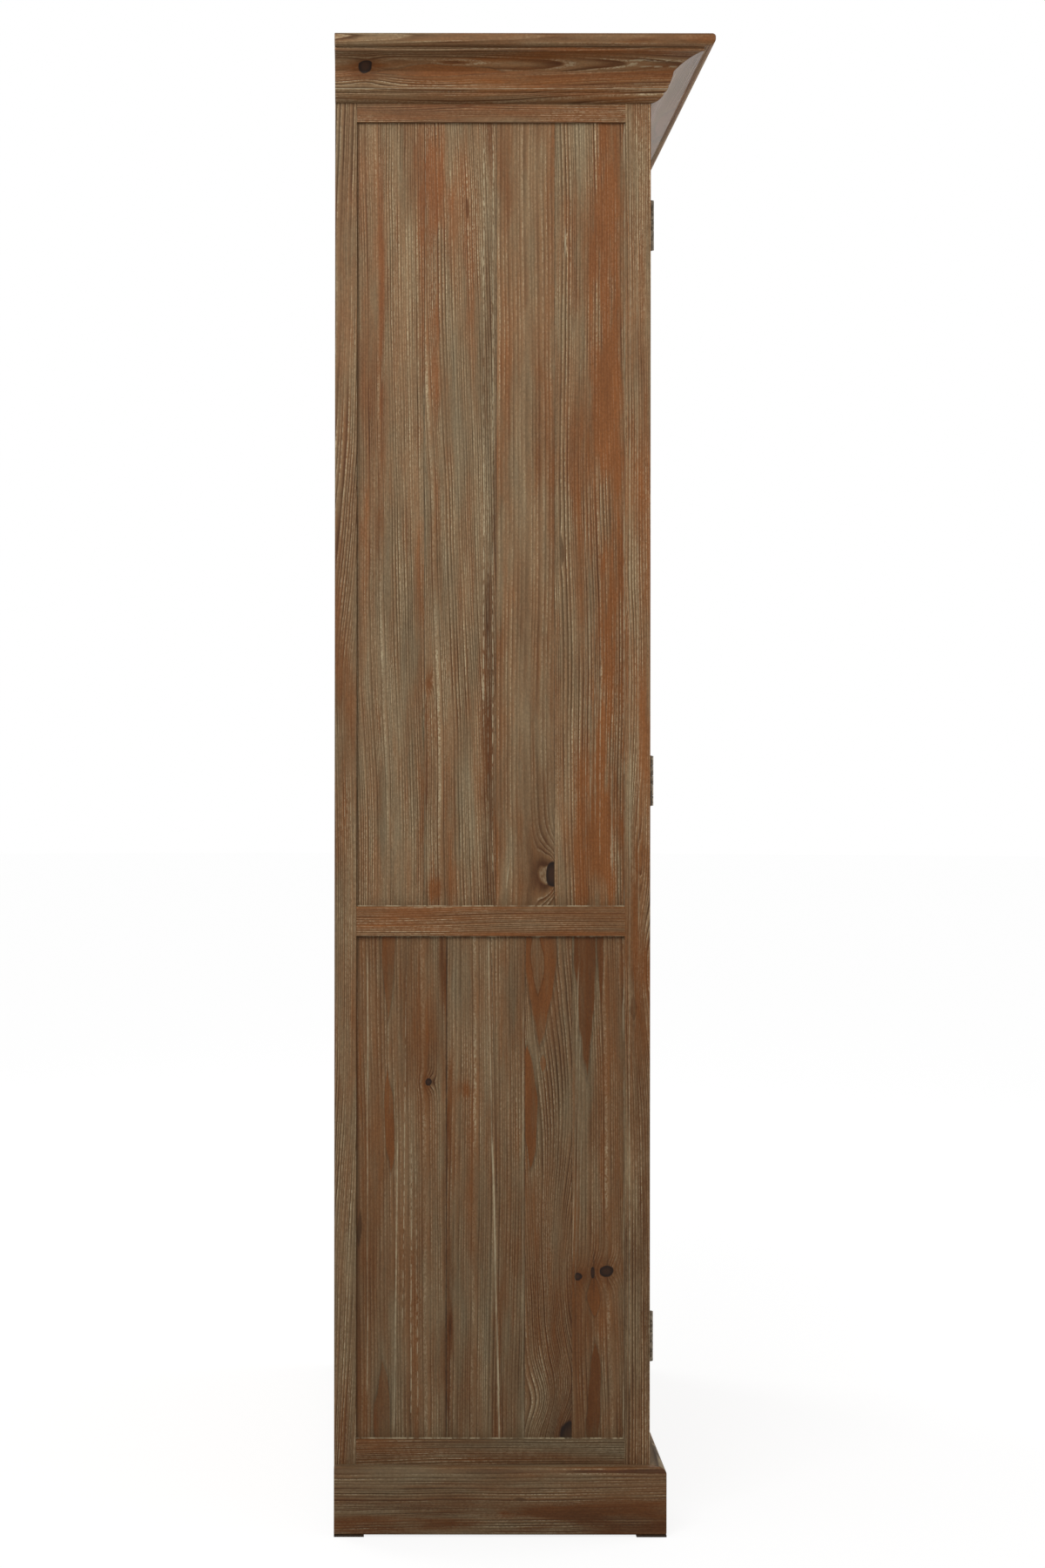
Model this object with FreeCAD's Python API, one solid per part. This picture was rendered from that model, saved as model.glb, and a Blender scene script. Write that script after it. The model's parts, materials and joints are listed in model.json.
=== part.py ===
import FreeCAD, Part
import math
import os

# Tall two-door pine cabinet. Two frame-and-panel sides carry a planted plinth and a mitred
# crown cornice under a round-nosed top board. Two full-height panelled doors are inset in the
# front frame on butt hinges whose knuckles stand proud. Inside, a fixed shelf stands level with
# the middle rails, and the loose shelves lie on cleats that drop into sawtooth standards.
# Lengths are in millimetres and +Z is up. The front faces -Y, and the origin is on the floor
# under the middle of the cabinet.

Vector = FreeCAD.Vector

# Overall size
overall_height = 2235.0
body_width = 1100.0
body_depth = 475.0

# Foot pads and plinth
pad_height = 3.0
pad_side = 45.0
plinth_height = 103.0
plinth_thickness = 23.0
plinth_top_radius = 9.0
plinth_edge_radius = 3.0

# Top board
top_thickness = 18.0
top_projection = 87.0
top_upper_radius = 6.0
top_lower_radius = 9.0

# Crown cornice: distances out from the carcass and heights above its lower edge
crown_height = 67.5
crown_foot_out = 3.0
lower_bead_out = 17.5
lower_bead_height = 9.5
lower_fillet_height = 12.3
quirk_width = 1.0
upper_bead_out = 24.0
upper_bead_height = 20.0
upper_fillet_height = 22.5
cyma_waist_out = 31.0
cyma_waist_height = 41.0
cove_top_out = 68.5
cove_top_height = 62.0
crown_top_out = 72.0
lower_bead_bulge = 1.8
upper_bead_bulge = 1.2
cyma_bulge = 0.8
cove_hollow = 2.8
crown_seat_height = 26.0
crown_seat_width = 28.0
crown_block_length = 70.0
front_block_shares = (-0.75, -0.25, 0.25, 0.75)
side_block_shares = (0.25, 0.75)

# Posts and rails of the carcass
front_post_width = 45.0
front_post_depth = 38.0
back_post_width = 32.0
back_post_depth = 33.0
side_rail_thickness = 24.0
front_rail_thickness = 24.0
back_rail_thickness = 22.0
visible_top_rail = 28.0
visible_bottom_rail = 36.5
hidden_rail_depth = 43.0
mid_rail_centre = 919.5
mid_rail_width = 44.0
front_tenon_length = 12.0
front_tenon_thickness = 8.0
front_tenon_shoulder = 10.0

# Panels in their grooves
panel_recess = 7.0
side_groove_width = 10.0
door_groove_width = 8.0
groove_depth = 10.0
groove_fit = 0.2
tenon_end_gap = 0.5
panel_end_gap = 1.5

# Boards inside and behind
floor_thickness = 18.0
ceiling_thickness = 15.0
floor_cleat_side = 20.0
back_board_thickness = 12.0
back_board_count = 9
back_lap = 6.0
back_board_gap = 0.4
back_rabbet_width = 12.0

# Shelves, the standards that their cleats drop into, and the cleats
shelf_thickness = 20.0
shelf_fit = 2.0
shelf_setback = 20.0
lower_shelf_shares = (0.5,)
upper_shelf_shares = (0.35, 0.68)
standard_width = 26.0
tooth_pitch = 50.0
tooth_depth = 10.0
tooth_land = 6.0
cleat_height = 24.0
cleat_end_gap = 0.3

# Doors
door_thickness = 22.0
door_stile_width = 62.0
door_top_rail_width = 62.0
door_mid_rail_width = 62.0
door_bottom_rail_width = 82.0
hinge_gap = 2.5
meeting_gap = 3.0
head_gap = 2.5
sill_gap = 3.0

# Butt hinges
hinge_height = 76.0
hinge_inset = 147.0
hinge_count = 3
leaf_width = 19.0
leaf_thickness = 1.8
knuckle_count = 5
knuckle_radius = 4.5
knuckle_stand_off = 0.3
knuckle_end_gap = 0.3
knuckle_side_clearance = 0.4
hinge_pin_radius = 2.4
hinge_pin_fit = 0.05
barrel_sides = 12
screws_per_leaf = 3
screw_pitch = 26.0
screw_inset = 10.5
screw_head_radius = 3.6
screw_shank_radius = 1.7
screw_tip_radius = 0.3
screw_length = 17.0
screw_hole_fit = 0.05
screw_sides = 8

# Knobs
knob_height = 1075.0
knob_foot_radius = 11.0
knob_foot_height = 2.5
knob_neck_radius = 5.5
knob_neck_height = 11.0
knob_head_radius = 16.0
knob_rim_height = 17.0
knob_shoulder_radius = 14.5
knob_shoulder_height = 22.0
knob_crown_radius = 8.0
knob_projection = 26.0
knob_sides = 16
bolt_radius = 2.0
bolt_hole_fit = 0.3
bolt_reach = 9.0
bolt_head_radius = 4.5
bolt_head_height = 2.6
bolt_sides = 8

# Magnetic catches and their strike plates
catch_width = 40.0
catch_flange_width = 58.0
catch_flange_height = 2.0
catch_height = 13.0
catch_depth = 14.0
catch_gap = 0.3
catch_offset = 60.0
strike_width = 34.0
strike_height = 12.0
strike_thickness = 1.2
strike_top_gap = 4.0

# Every cutting tool runs past the face that it opens by this much
overrun = 5.0

# Places worked out from the sizes above
y_back = (body_depth + top_projection) / 2
y_front = y_back - body_depth
x_side = -body_width / 2
carcass_top = overall_height - top_thickness
crown_bottom = carcass_top - crown_height
opening_top = crown_bottom - visible_top_rail
opening_bottom = plinth_height + visible_bottom_rail
rail_bottom = plinth_height - hidden_rail_depth
mid_rail_low = mid_rail_centre - mid_rail_width / 2
mid_rail_high = mid_rail_centre + mid_rail_width / 2
x_opening = x_side + front_post_width
x_back_opening = x_side + back_post_width
x_rail_inside = x_side + side_rail_thickness
y_front_post = y_front + front_post_depth
y_back_post = y_back - back_post_depth
y_front_rail = y_front + front_rail_thickness
y_back_boards = y_back - back_board_thickness
y_back_rail = y_back_boards - back_rail_thickness
floor_bottom = opening_bottom - floor_thickness
middle_shelf_low = mid_rail_centre - shelf_thickness / 2
middle_shelf_high = mid_rail_centre + shelf_thickness / 2
x_hinge_edge = x_opening + hinge_gap
x_meeting_edge = -meeting_gap / 2
y_door_back = y_front + door_thickness
door_low = opening_bottom + sill_gap
door_high = opening_top - head_gap
x_hinge_axis = x_opening + hinge_gap / 2
y_hinge_axis = y_front - knuckle_stand_off - knuckle_radius
x_knob = x_meeting_edge - door_stile_width / 2
x_catch = x_meeting_edge - catch_offset

parts = {}


def span_box(x_span, y_span, z_span):
    """A box between two limits on each axis, given in either order."""
    low = Vector(min(x_span), min(y_span), min(z_span))
    high = Vector(max(x_span), max(y_span), max(z_span))
    size = high - low
    return Part.makeBox(size.x, size.y, size.z, low)


def mirrored(shape):
    """The same piece on the other side of the cabinet."""
    return shape.mirror(Vector(0, 0, 0), Vector(1, 0, 0))


def add_both(name, shape):
    """Keeps a left-hand piece and its right-hand twin."""
    parts["left_" + name] = shape
    parts["right_" + name] = mirrored(shape)


def group(solids):
    """Separate solids that share one node."""
    return Part.makeCompound(list(solids))


def line(start, end):
    return Part.LineSegment(start, end).toShape()


def bulged_arc(start, end, bulge, turn):
    """An arc whose middle stands off its chord by bulge. Turn is a unit vector square to the
    plane of the arc, and the arc leans to the side of turn x chord."""
    chord = end - start
    side = turn.cross(chord)
    side.normalize()
    middle = (start + end) * 0.5 + side * bulge
    return Part.Arc(start, middle, end).toShape()


def quarter_round(start, end, corner):
    """A quarter circle from start to end that rounds off the corner where they would meet."""
    centre = start + end - corner
    middle = centre + (corner - centre) * math.sqrt(0.5)
    return Part.Arc(start, middle, end).toShape()


def extruded(edges, along):
    """A solid from a closed outline and the vector that it is pushed along."""
    return Part.Face(Part.Wire(edges)).extrude(along)


def polygon_prism(points, along):
    """A solid from straight-sided outline points and the vector that it is pushed along."""
    return Part.Face(Part.makePolygon(points + points[:1])).extrude(along)


def regular_outline(radius, sides, centre, along):
    """The corners of a regular polygon round centre, square to along, which is a unit vector
    on an axis. The first corner is repeated at the end."""
    across = Vector(along.y, along.z, along.x)
    other = along.cross(across)
    corners = []
    for number in range(sides + 1):
        angle = 2 * math.pi * number / sides
        corners.append(centre + (across * math.cos(angle) + other * math.sin(angle)) * radius)
    return corners


def sided_solid(stations, sides, foot, along):
    """A many-sided solid through regular outlines, each at a distance from foot and with a
    radius. It stands in for a true round where the piece is small."""
    rings = [
        regular_outline(radius, sides, foot + along * distance, along)
        for distance, radius in stations
    ]
    outlines = [rings[0], rings[-1]]
    for near, far in zip(rings, rings[1:]):
        for number in range(sides):
            corners = [near[number], near[number + 1], far[number + 1], far[number]]
            outlines.append(corners + corners[:1])
    faces = [Part.Face(Part.makePolygon(outline)) for outline in outlines]
    solid = Part.makeSolid(Part.makeShell(faces))
    if solid.Volume < 0:
        solid.reverse()
    return solid


def radius_round(radius, sides):
    """The corner radius of a regular polygon that a circle of this radius fits inside."""
    return radius / math.cos(math.pi / sides)


# Side frames: posts, rails and panels
def groove_cut(y_span, z_span):
    """The panel groove of the left-hand side frame, over the lengths given."""
    x_start = x_side + panel_recess
    return span_box((x_start, x_start + side_groove_width), y_span, z_span)


def hinge_centres():
    """Heights of the hinge centres, from the lowest up."""
    lowest = opening_bottom + hinge_inset
    step = (opening_top - hinge_inset - lowest) / (hinge_count - 1)
    return [lowest + step * number for number in range(hinge_count)]


def hinge_seats(x_face, direction):
    """Tools that let the leaves into the wood and bore their screw holes. Direction points
    into the wood."""
    seats = []
    for centre in hinge_centres():
        seats.append(
            span_box(
                (x_face, x_face + direction * leaf_thickness),
                (y_front - overrun, y_front + leaf_width),
                (centre - hinge_height / 2, centre + hinge_height / 2),
            )
        )
        for y, z in screw_places(centre):
            seats.append(make_screw(x_face, direction, y, z, screw_hole_fit))
    return seats


def front_rail_spans():
    """Height limits of the two rails of the front frame."""
    return {
        "front_bottom_rail": (rail_bottom, opening_bottom),
        "front_top_rail": (opening_top, carcass_top),
    }


def front_tenon(length, z_span, fit):
    """The tenon at the left end of a front rail, or with a fit added its mortise."""
    y_middle = y_front + front_rail_thickness / 2
    half = front_tenon_thickness / 2 + fit
    return span_box(
        (x_opening - length - fit, x_opening + overrun),
        (y_middle - half, y_middle + half),
        (z_span[0] + front_tenon_shoulder - fit, z_span[1] - front_tenon_shoulder + fit),
    )


def make_front_post():
    z_span = (pad_height, carcass_top)
    post = span_box((x_side, x_opening), (y_front, y_front_post), z_span)
    post = post.cut(groove_cut((y_front_post - groove_depth, y_front_post + overrun), z_span))
    for rail_span in front_rail_spans().values():
        post = post.cut(front_tenon(front_tenon_length, rail_span, groove_fit))
    return post.cut(hinge_seats(x_opening, -1))


def make_back_post():
    z_span = (pad_height, carcass_top)
    post = span_box((x_side, x_back_opening), (y_back_post, y_back), z_span)
    post = post.cut(groove_cut((y_back_post - overrun, y_back_post + groove_depth), z_span))
    rabbet = span_box(
        (x_back_opening - back_rabbet_width, x_back_opening + overrun),
        (y_back_boards, y_back + overrun),
        (rail_bottom, carcass_top + overrun),
    )
    return post.cut(rabbet)


def make_side_rail(z_low, z_high, groove_below, groove_above):
    """A side rail with a stub tenon at each end and a groove in each edge that holds a panel."""
    rail = span_box((x_side, x_rail_inside), (y_front_post, y_back_post), (z_low, z_high))
    tenon_x = x_side + panel_recess + groove_fit
    tenon_reach = groove_depth - tenon_end_gap
    tenon = span_box(
        (tenon_x, tenon_x + side_groove_width - 2 * groove_fit),
        (y_front_post - tenon_reach, y_back_post + tenon_reach),
        (z_low, z_high),
    )
    rail = rail.fuse(tenon).removeSplitter()
    y_long = (y_front_post - groove_depth, y_back_post + groove_depth)
    if groove_below:
        rail = rail.cut(groove_cut(y_long, (z_low - overrun, z_low + groove_depth)))
    if groove_above:
        rail = rail.cut(groove_cut(y_long, (z_high - groove_depth, z_high + overrun)))
    return rail


def make_side_panel(z_low, z_high):
    """A flat panel whose edges sit in the grooves around its opening."""
    reach = groove_depth - panel_end_gap
    x_start = x_side + panel_recess + groove_fit
    return span_box(
        (x_start, x_start + side_groove_width - 2 * groove_fit),
        (y_front_post - reach, y_back_post + reach),
        (z_low - reach, z_high + reach),
    )


def make_sides():
    add_both("front_post", make_front_post())
    add_both("back_post", make_back_post())
    add_both("top_rail", make_side_rail(opening_top, carcass_top, True, False))
    add_both("mid_rail", make_side_rail(mid_rail_low, mid_rail_high, True, True))
    add_both("bottom_rail", make_side_rail(rail_bottom, opening_bottom, False, True))
    add_both("upper_panel", make_side_panel(mid_rail_high, opening_top))
    add_both("lower_panel", make_side_panel(opening_bottom, mid_rail_low))


# Front frame rails, floor, ceiling and back
def make_front_rails():
    for name, z_span in front_rail_spans().items():
        rail = span_box((x_opening, -x_opening), (y_front, y_front_rail), z_span)
        tenon = front_tenon(front_tenon_length - tenon_end_gap, z_span, 0)
        parts[name] = rail.fuse([tenon, mirrored(tenon)]).removeSplitter()


def notched_board(z_span):
    """A board across the whole carcass, notched round the two front posts."""
    board = span_box((x_rail_inside, -x_rail_inside), (y_front_rail, y_back_rail), z_span)
    notch = span_box(
        (x_rail_inside - overrun, x_opening),
        (y_front_rail - overrun, y_front_post),
        (z_span[0] - overrun, z_span[1] + overrun),
    )
    return board.cut([notch, mirrored(notch)])


def make_floor_and_ceiling():
    parts["floor_board"] = notched_board((floor_bottom, opening_bottom))
    parts["ceiling_board"] = notched_board((opening_top, opening_top + ceiling_thickness))
    cleat = span_box(
        (x_rail_inside, x_rail_inside + floor_cleat_side),
        (y_front_post, y_back_rail),
        (floor_bottom - floor_cleat_side, floor_bottom),
    )
    parts["floor_cleats"] = group([cleat, mirrored(cleat)])


def make_back_board(number, first_x, pitch):
    """One shiplap board. Half its thickness laps behind the next board, and a step along its
    other edge takes the lap of the one before."""
    x_low = first_x + pitch * number
    x_high = x_low + pitch
    half_gap = back_board_gap / 2
    y_lap = y_back - back_board_thickness / 2
    is_first = number == 0
    is_last = number == back_board_count - 1
    x_span = [x_low, x_high]
    if not is_first:
        x_span[0] += half_gap
    if not is_last:
        x_span[1] += back_lap - half_gap
    board = span_box(x_span, (y_back_boards, y_back), (rail_bottom, carcass_top))
    z_cut = (rail_bottom - overrun, carcass_top + overrun)
    if not is_first:
        x_cut = (x_low - overrun, x_low + back_lap + half_gap)
        board = board.cut(span_box(x_cut, (y_lap - half_gap, y_back + overrun), z_cut))
    if not is_last:
        x_cut = (x_high - half_gap, x_high + back_lap + overrun)
        board = board.cut(span_box(x_cut, (y_back_boards - overrun, y_lap + half_gap), z_cut))
    return board


def make_back():
    first_x = x_back_opening - back_rabbet_width
    pitch = -2 * first_x / back_board_count
    boards = [make_back_board(number, first_x, pitch) for number in range(back_board_count)]
    parts["back_boards"] = group(boards)
    rails = []
    for z_span in ((rail_bottom, opening_bottom), (opening_top, carcass_top)):
        x_span = (x_back_opening, -x_back_opening)
        rails.append(span_box(x_span, (y_back_rail, y_back_boards), z_span))
    parts["back_rails"] = group(rails)


# Plinth, foot pads, top board and cornice
def plinth_outline(place):
    """The plinth's section: a board with its top edge rounded over. Place maps a distance out
    from the carcass and a height to a point."""
    out = plinth_thickness
    top_arc_start = place(out - plinth_top_radius, plinth_height)
    top_arc_end = place(out, plinth_height - plinth_top_radius)
    foot_arc_start = place(out, pad_height + plinth_edge_radius)
    foot_arc_end = place(out - plinth_edge_radius, pad_height)
    return [
        line(place(0, pad_height), place(0, plinth_height)),
        line(place(0, plinth_height), top_arc_start),
        quarter_round(top_arc_start, top_arc_end, place(out, plinth_height)),
        line(top_arc_end, foot_arc_start),
        quarter_round(foot_arc_start, foot_arc_end, place(out, pad_height)),
        line(foot_arc_end, place(0, pad_height)),
    ]


def crown_outline(place, turn):
    """The crown's section: two beads, a cyma and a deep cove, with a sprung back that leaves a
    hollow corner behind it."""
    foot = place(crown_foot_out, 0)
    lower_bead = place(lower_bead_out, lower_bead_height)
    lower_fillet = place(lower_bead_out, lower_fillet_height)
    upper_bead_foot = place(lower_bead_out + quirk_width, lower_fillet_height)
    upper_bead = place(upper_bead_out, upper_bead_height)
    upper_fillet = place(upper_bead_out, upper_fillet_height)
    cyma_foot = place(upper_bead_out + quirk_width, upper_fillet_height)
    waist = place(cyma_waist_out, cyma_waist_height)
    cove_top = place(cove_top_out, cove_top_height)
    lip_foot = place(crown_top_out, cove_top_height)
    lip_top = place(crown_top_out, crown_height)
    back_top = place(crown_top_out - crown_seat_width, crown_height)
    back_foot = place(0, crown_seat_height)
    heel = place(0, 0)
    return [
        line(heel, foot),
        bulged_arc(foot, lower_bead, lower_bead_bulge, turn),
        line(lower_bead, lower_fillet),
        line(lower_fillet, upper_bead_foot),
        bulged_arc(upper_bead_foot, upper_bead, upper_bead_bulge, turn),
        line(upper_bead, upper_fillet),
        line(upper_fillet, cyma_foot),
        bulged_arc(cyma_foot, waist, cyma_bulge, turn),
        bulged_arc(waist, cove_top, -cove_hollow, turn),
        line(cove_top, lip_foot),
        line(lip_foot, lip_top),
        line(lip_top, back_top),
        line(back_top, back_foot),
        line(back_foot, heel),
    ]


def at_front(out, height, base):
    return Vector(x_side - top_projection, y_front - out, base + height)


def at_side(out, height, base):
    return Vector(x_side - out, y_front - top_projection, base + height)


def mitre_tool(corners, z_low, z_high):
    """A plan outline pushed through the height of a moulding, to cut its mitres."""
    points = [Vector(x, y, z_low - overrun) for x, y in corners]
    return polygon_prism(points, Vector(0, 0, z_high - z_low + 2 * overrun))


def front_mitre(reach, z_low, z_high):
    corners = [
        (x_side, y_front),
        (-x_side, y_front),
        (-x_side + reach, y_front - reach),
        (x_side - reach, y_front - reach),
    ]
    return mitre_tool(corners, z_low, z_high)


def side_mitre(reach, z_low, z_high):
    corners = [
        (x_side, y_front),
        (x_side, y_back),
        (x_side - reach, y_back),
        (x_side - reach, y_front - reach),
    ]
    return mitre_tool(corners, z_low, z_high)


def make_mitred_runs(name, front_edges, side_edges, z_low, z_high):
    """Three runs of one moulding, mitred at the two front corners and square at the back."""
    long_way = Vector(2 * (top_projection - x_side), 0, 0)
    deep_way = Vector(0, y_back - y_front + top_projection, 0)
    front_run = extruded(front_edges, long_way)
    side_run = extruded(side_edges, deep_way)
    parts[name + "_front"] = front_run.common(front_mitre(top_projection, z_low, z_high))
    left_run = side_run.common(side_mitre(top_projection, z_low, z_high))
    parts[name + "_left"] = left_run
    parts[name + "_right"] = mirrored(left_run)


def make_plinth():
    front = plinth_outline(lambda out, height: at_front(out, height, 0))
    side = plinth_outline(lambda out, height: at_side(out, height, 0))
    make_mitred_runs("plinth", front, side, pad_height, plinth_height)
    x_pad = x_side - plinth_thickness
    y_pad = y_front - plinth_thickness
    pads = []
    for y_span in ((y_pad, y_pad + pad_side), (y_back - pad_side, y_back)):
        pad = span_box((x_pad, x_pad + pad_side), y_span, (0, pad_height))
        pads += [pad, mirrored(pad)]
    parts["foot_pads"] = group(pads)


def make_crown():
    front = crown_outline(
        lambda out, height: at_front(out, height, crown_bottom), Vector(1, 0, 0)
    )
    side = crown_outline(
        lambda out, height: at_side(out, height, crown_bottom), Vector(0, -1, 0)
    )
    make_mitred_runs("cornice", front, side, crown_bottom, carcass_top)


def make_crown_blocks():
    """Triangular glue blocks in the hollow corner behind the crown."""
    rise = crown_height - crown_seat_height
    run = crown_top_out - crown_seat_width
    low = carcass_top - rise
    front_corners = [
        Vector(0, y_front, low),
        Vector(0, y_front, carcass_top),
        Vector(0, y_front - run, carcass_top),
    ]
    front_block = polygon_prism(front_corners, Vector(crown_block_length, 0, 0))
    side_corners = [
        Vector(x_side, 0, low),
        Vector(x_side, 0, carcass_top),
        Vector(x_side - run, 0, carcass_top),
    ]
    side_block = polygon_prism(side_corners, Vector(0, crown_block_length, 0))
    blocks = []
    for share in front_block_shares:
        place = Vector(share * -x_side - crown_block_length / 2, 0, 0)
        blocks.append(front_block.translated(place))
    for share in side_block_shares:
        place = Vector(0, y_front + share * body_depth - crown_block_length / 2, 0)
        block = side_block.translated(place)
        blocks += [block, mirrored(block)]
    parts["cornice_blocks"] = group(blocks)


def nose_edges(place):
    """The rounded nose of the top board, from its lower face to its upper one."""
    out = top_projection
    lower_start = place(out - top_lower_radius, 0)
    lower_end = place(out, top_lower_radius)
    upper_start = place(out, top_thickness - top_upper_radius)
    upper_end = place(out - top_upper_radius, top_thickness)
    return [
        quarter_round(lower_start, lower_end, place(out, 0)),
        line(lower_end, upper_start),
        quarter_round(upper_start, upper_end, place(out, top_thickness)),
    ]


def make_top_board():
    """Two noses crossed over each other, so that they meet in mitred corners."""
    front = nose_edges(lambda out, height: at_front(out, height, carcass_top))
    back_low = Vector(x_side - top_projection, y_back, carcass_top)
    back_high = Vector(x_side - top_projection, y_back, overall_height)
    front_low = front[0].firstVertex(True).Point
    front_high = front[-1].lastVertex(True).Point
    outline = front + [
        line(front_high, back_high),
        line(back_high, back_low),
        line(back_low, front_low),
    ]
    along_front = extruded(outline, Vector(2 * (top_projection - x_side), 0, 0))
    side = nose_edges(lambda out, height: at_side(out, height, carcass_top))
    other_side = [mirrored(edge) for edge in side]
    low = side[0].firstVertex(True).Point
    high = side[-1].lastVertex(True).Point
    outline = side + other_side + [
        line(low, Vector(-low.x, low.y, low.z)),
        line(high, Vector(-high.x, high.y, high.z)),
    ]
    outline = Part.sortEdges(outline)[0]
    along_side = extruded(outline, Vector(0, y_back - y_front + top_projection, 0))
    parts["top_board"] = along_front.common(along_side)


# Shelves, standards and cleats
def shelf_spaces():
    """Height limits of the two spaces that hold loose shelves, and the shares of their height
    at which the shelves lie."""
    return [
        ((opening_bottom, middle_shelf_low), lower_shelf_shares),
        ((middle_shelf_high, opening_top), upper_shelf_shares),
    ]


def seat_heights(z_span):
    """Heights of the level seats in the teeth of one standard."""
    count = int((z_span[1] - z_span[0]) / tooth_pitch)
    first = (z_span[0] + z_span[1] - (count - 1) * tooth_pitch) / 2 - tooth_pitch / 2
    return [first + tooth_pitch * number for number in range(count)]


def chosen_seats():
    """The seats that hold a cleat, from the lowest up."""
    chosen = []
    for z_span, shares in shelf_spaces():
        seats = seat_heights(z_span)
        chosen += [seats[int(share * len(seats))] for share in shares]
    return chosen


def make_standard(y_plain, y_teeth, z_span):
    """An upright with a plain edge and a toothed one. Each tooth has a level seat, a slope that
    rises from the back of the seat, and a short upright land."""
    inward = math.copysign(tooth_depth, y_plain - y_teeth)
    profile = [(y_plain, z_span[0]), (y_teeth, z_span[0])]
    for seat in seat_heights(z_span):
        profile.append((y_teeth, seat))
        profile.append((y_teeth + inward, seat))
        profile.append((y_teeth, seat + tooth_pitch - tooth_land))
    profile += [(y_teeth, z_span[1]), (y_plain, z_span[1])]
    points = [Vector(x_rail_inside, y, z) for y, z in profile]
    return polygon_prism(points, Vector(x_opening - x_rail_inside, 0, 0))


def make_cleat(seat):
    """A bar whose ends fill the teeth of the two standards on one side."""
    y_low = y_front_post + standard_width - tooth_depth + cleat_end_gap
    y_high = y_back_post - standard_width + tooth_depth - cleat_end_gap
    lean = tooth_depth * cleat_height / (tooth_pitch - tooth_land)
    profile = [
        (y_low, seat),
        (y_high, seat),
        (y_high - lean, seat + cleat_height),
        (y_low + lean, seat + cleat_height),
    ]
    points = [Vector(x_rail_inside, y, z) for y, z in profile]
    return polygon_prism(points, Vector(x_opening - x_rail_inside, 0, 0))


def make_standards():
    standards = []
    for z_span, _ in shelf_spaces():
        y_teeth = y_front_post + standard_width
        front = make_standard(y_front_post, y_teeth, z_span)
        y_teeth = y_back_post - standard_width
        back = make_standard(y_back_post, y_teeth, z_span)
        standards += [front, back, mirrored(front), mirrored(back)]
    parts["shelf_standards"] = group(standards)


def corner_notch(x_inner, y_span):
    """A tool that opens one corner of every shelf."""
    x_span = (x_rail_inside - overrun, x_inner)
    return span_box(x_span, y_span, (opening_bottom, opening_top))


def make_loose_shelf(z_low):
    """A shelf whose corners are notched round the standards."""
    x_end = x_rail_inside + shelf_fit
    y_span = (y_door_back + shelf_setback, y_back_boards - shelf_fit)
    shelf = span_box((x_end, -x_end), y_span, (z_low, z_low + shelf_thickness))
    x_notch = x_opening + shelf_fit
    y_standard = y_front_post + standard_width + shelf_fit
    front = corner_notch(x_notch, (y_span[0] - overrun, y_standard))
    y_standard = y_back_post - standard_width - shelf_fit
    back = corner_notch(x_notch, (y_standard, y_span[1] + overrun))
    return shelf.cut([front, back, mirrored(front), mirrored(back)])


def make_shelves():
    cleats = [make_cleat(seat) for seat in chosen_seats()]
    parts["shelf_cleats"] = group(cleats + [mirrored(cleat) for cleat in cleats])
    shelves = [make_loose_shelf(seat + cleat_height) for seat in chosen_seats()]
    parts["loose_shelves"] = group(shelves)
    y_span = (y_door_back + shelf_setback, y_back_boards)
    z_span = (middle_shelf_low, middle_shelf_high)
    middle = span_box((x_rail_inside, -x_rail_inside), y_span, z_span)
    notch = corner_notch(x_back_opening, (y_back_post, y_back))
    parts["middle_shelf"] = middle.cut([notch, mirrored(notch)])


# Doors
def door_groove(x_span, z_span):
    """A panel groove in a door member, midway through its thickness."""
    y_start = y_front + (door_thickness - door_groove_width) / 2
    return span_box(x_span, (y_start, y_start + door_groove_width), z_span)


def make_door_stiles():
    y_span = (y_front, y_door_back)
    z_span = (door_low, door_high)
    x_inner = x_hinge_edge + door_stile_width
    hinge_stile = span_box((x_hinge_edge, x_inner), y_span, z_span)
    hinge_stile = hinge_stile.cut(door_groove((x_inner - groove_depth, x_inner), z_span))
    add_both("door_hinge_stile", hinge_stile.cut(hinge_seats(x_hinge_edge, 1)))
    x_inner = x_meeting_edge - door_stile_width
    meeting_stile = span_box((x_inner, x_meeting_edge), y_span, z_span)
    meeting_stile = meeting_stile.cut(door_groove((x_inner, x_inner + groove_depth), z_span))
    hole_radius = bolt_radius + bolt_hole_fit
    hole_stations = [(-door_thickness - overrun, hole_radius), (overrun, hole_radius)]
    bolt_hole = knob_rod(hole_stations, bolt_sides)
    add_both("door_meeting_stile", meeting_stile.cut(bolt_hole))


def make_door_rail(z_low, z_high, groove_below, groove_above):
    """A door rail with stub tenons and a groove in each edge that holds a panel."""
    x_low = x_hinge_edge + door_stile_width
    x_high = x_meeting_edge - door_stile_width
    rail = span_box((x_low, x_high), (y_front, y_door_back), (z_low, z_high))
    reach = groove_depth - tenon_end_gap
    y_tenon = y_front + (door_thickness - door_groove_width) / 2 + groove_fit
    tenon = span_box(
        (x_low - reach, x_high + reach),
        (y_tenon, y_tenon + door_groove_width - 2 * groove_fit),
        (z_low, z_high),
    )
    rail = rail.fuse(tenon).removeSplitter()
    x_long = (x_low - groove_depth, x_high + groove_depth)
    if groove_below:
        rail = rail.cut(door_groove(x_long, (z_low - overrun, z_low + groove_depth)))
    if groove_above:
        rail = rail.cut(door_groove(x_long, (z_high - groove_depth, z_high + overrun)))
    return rail


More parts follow.
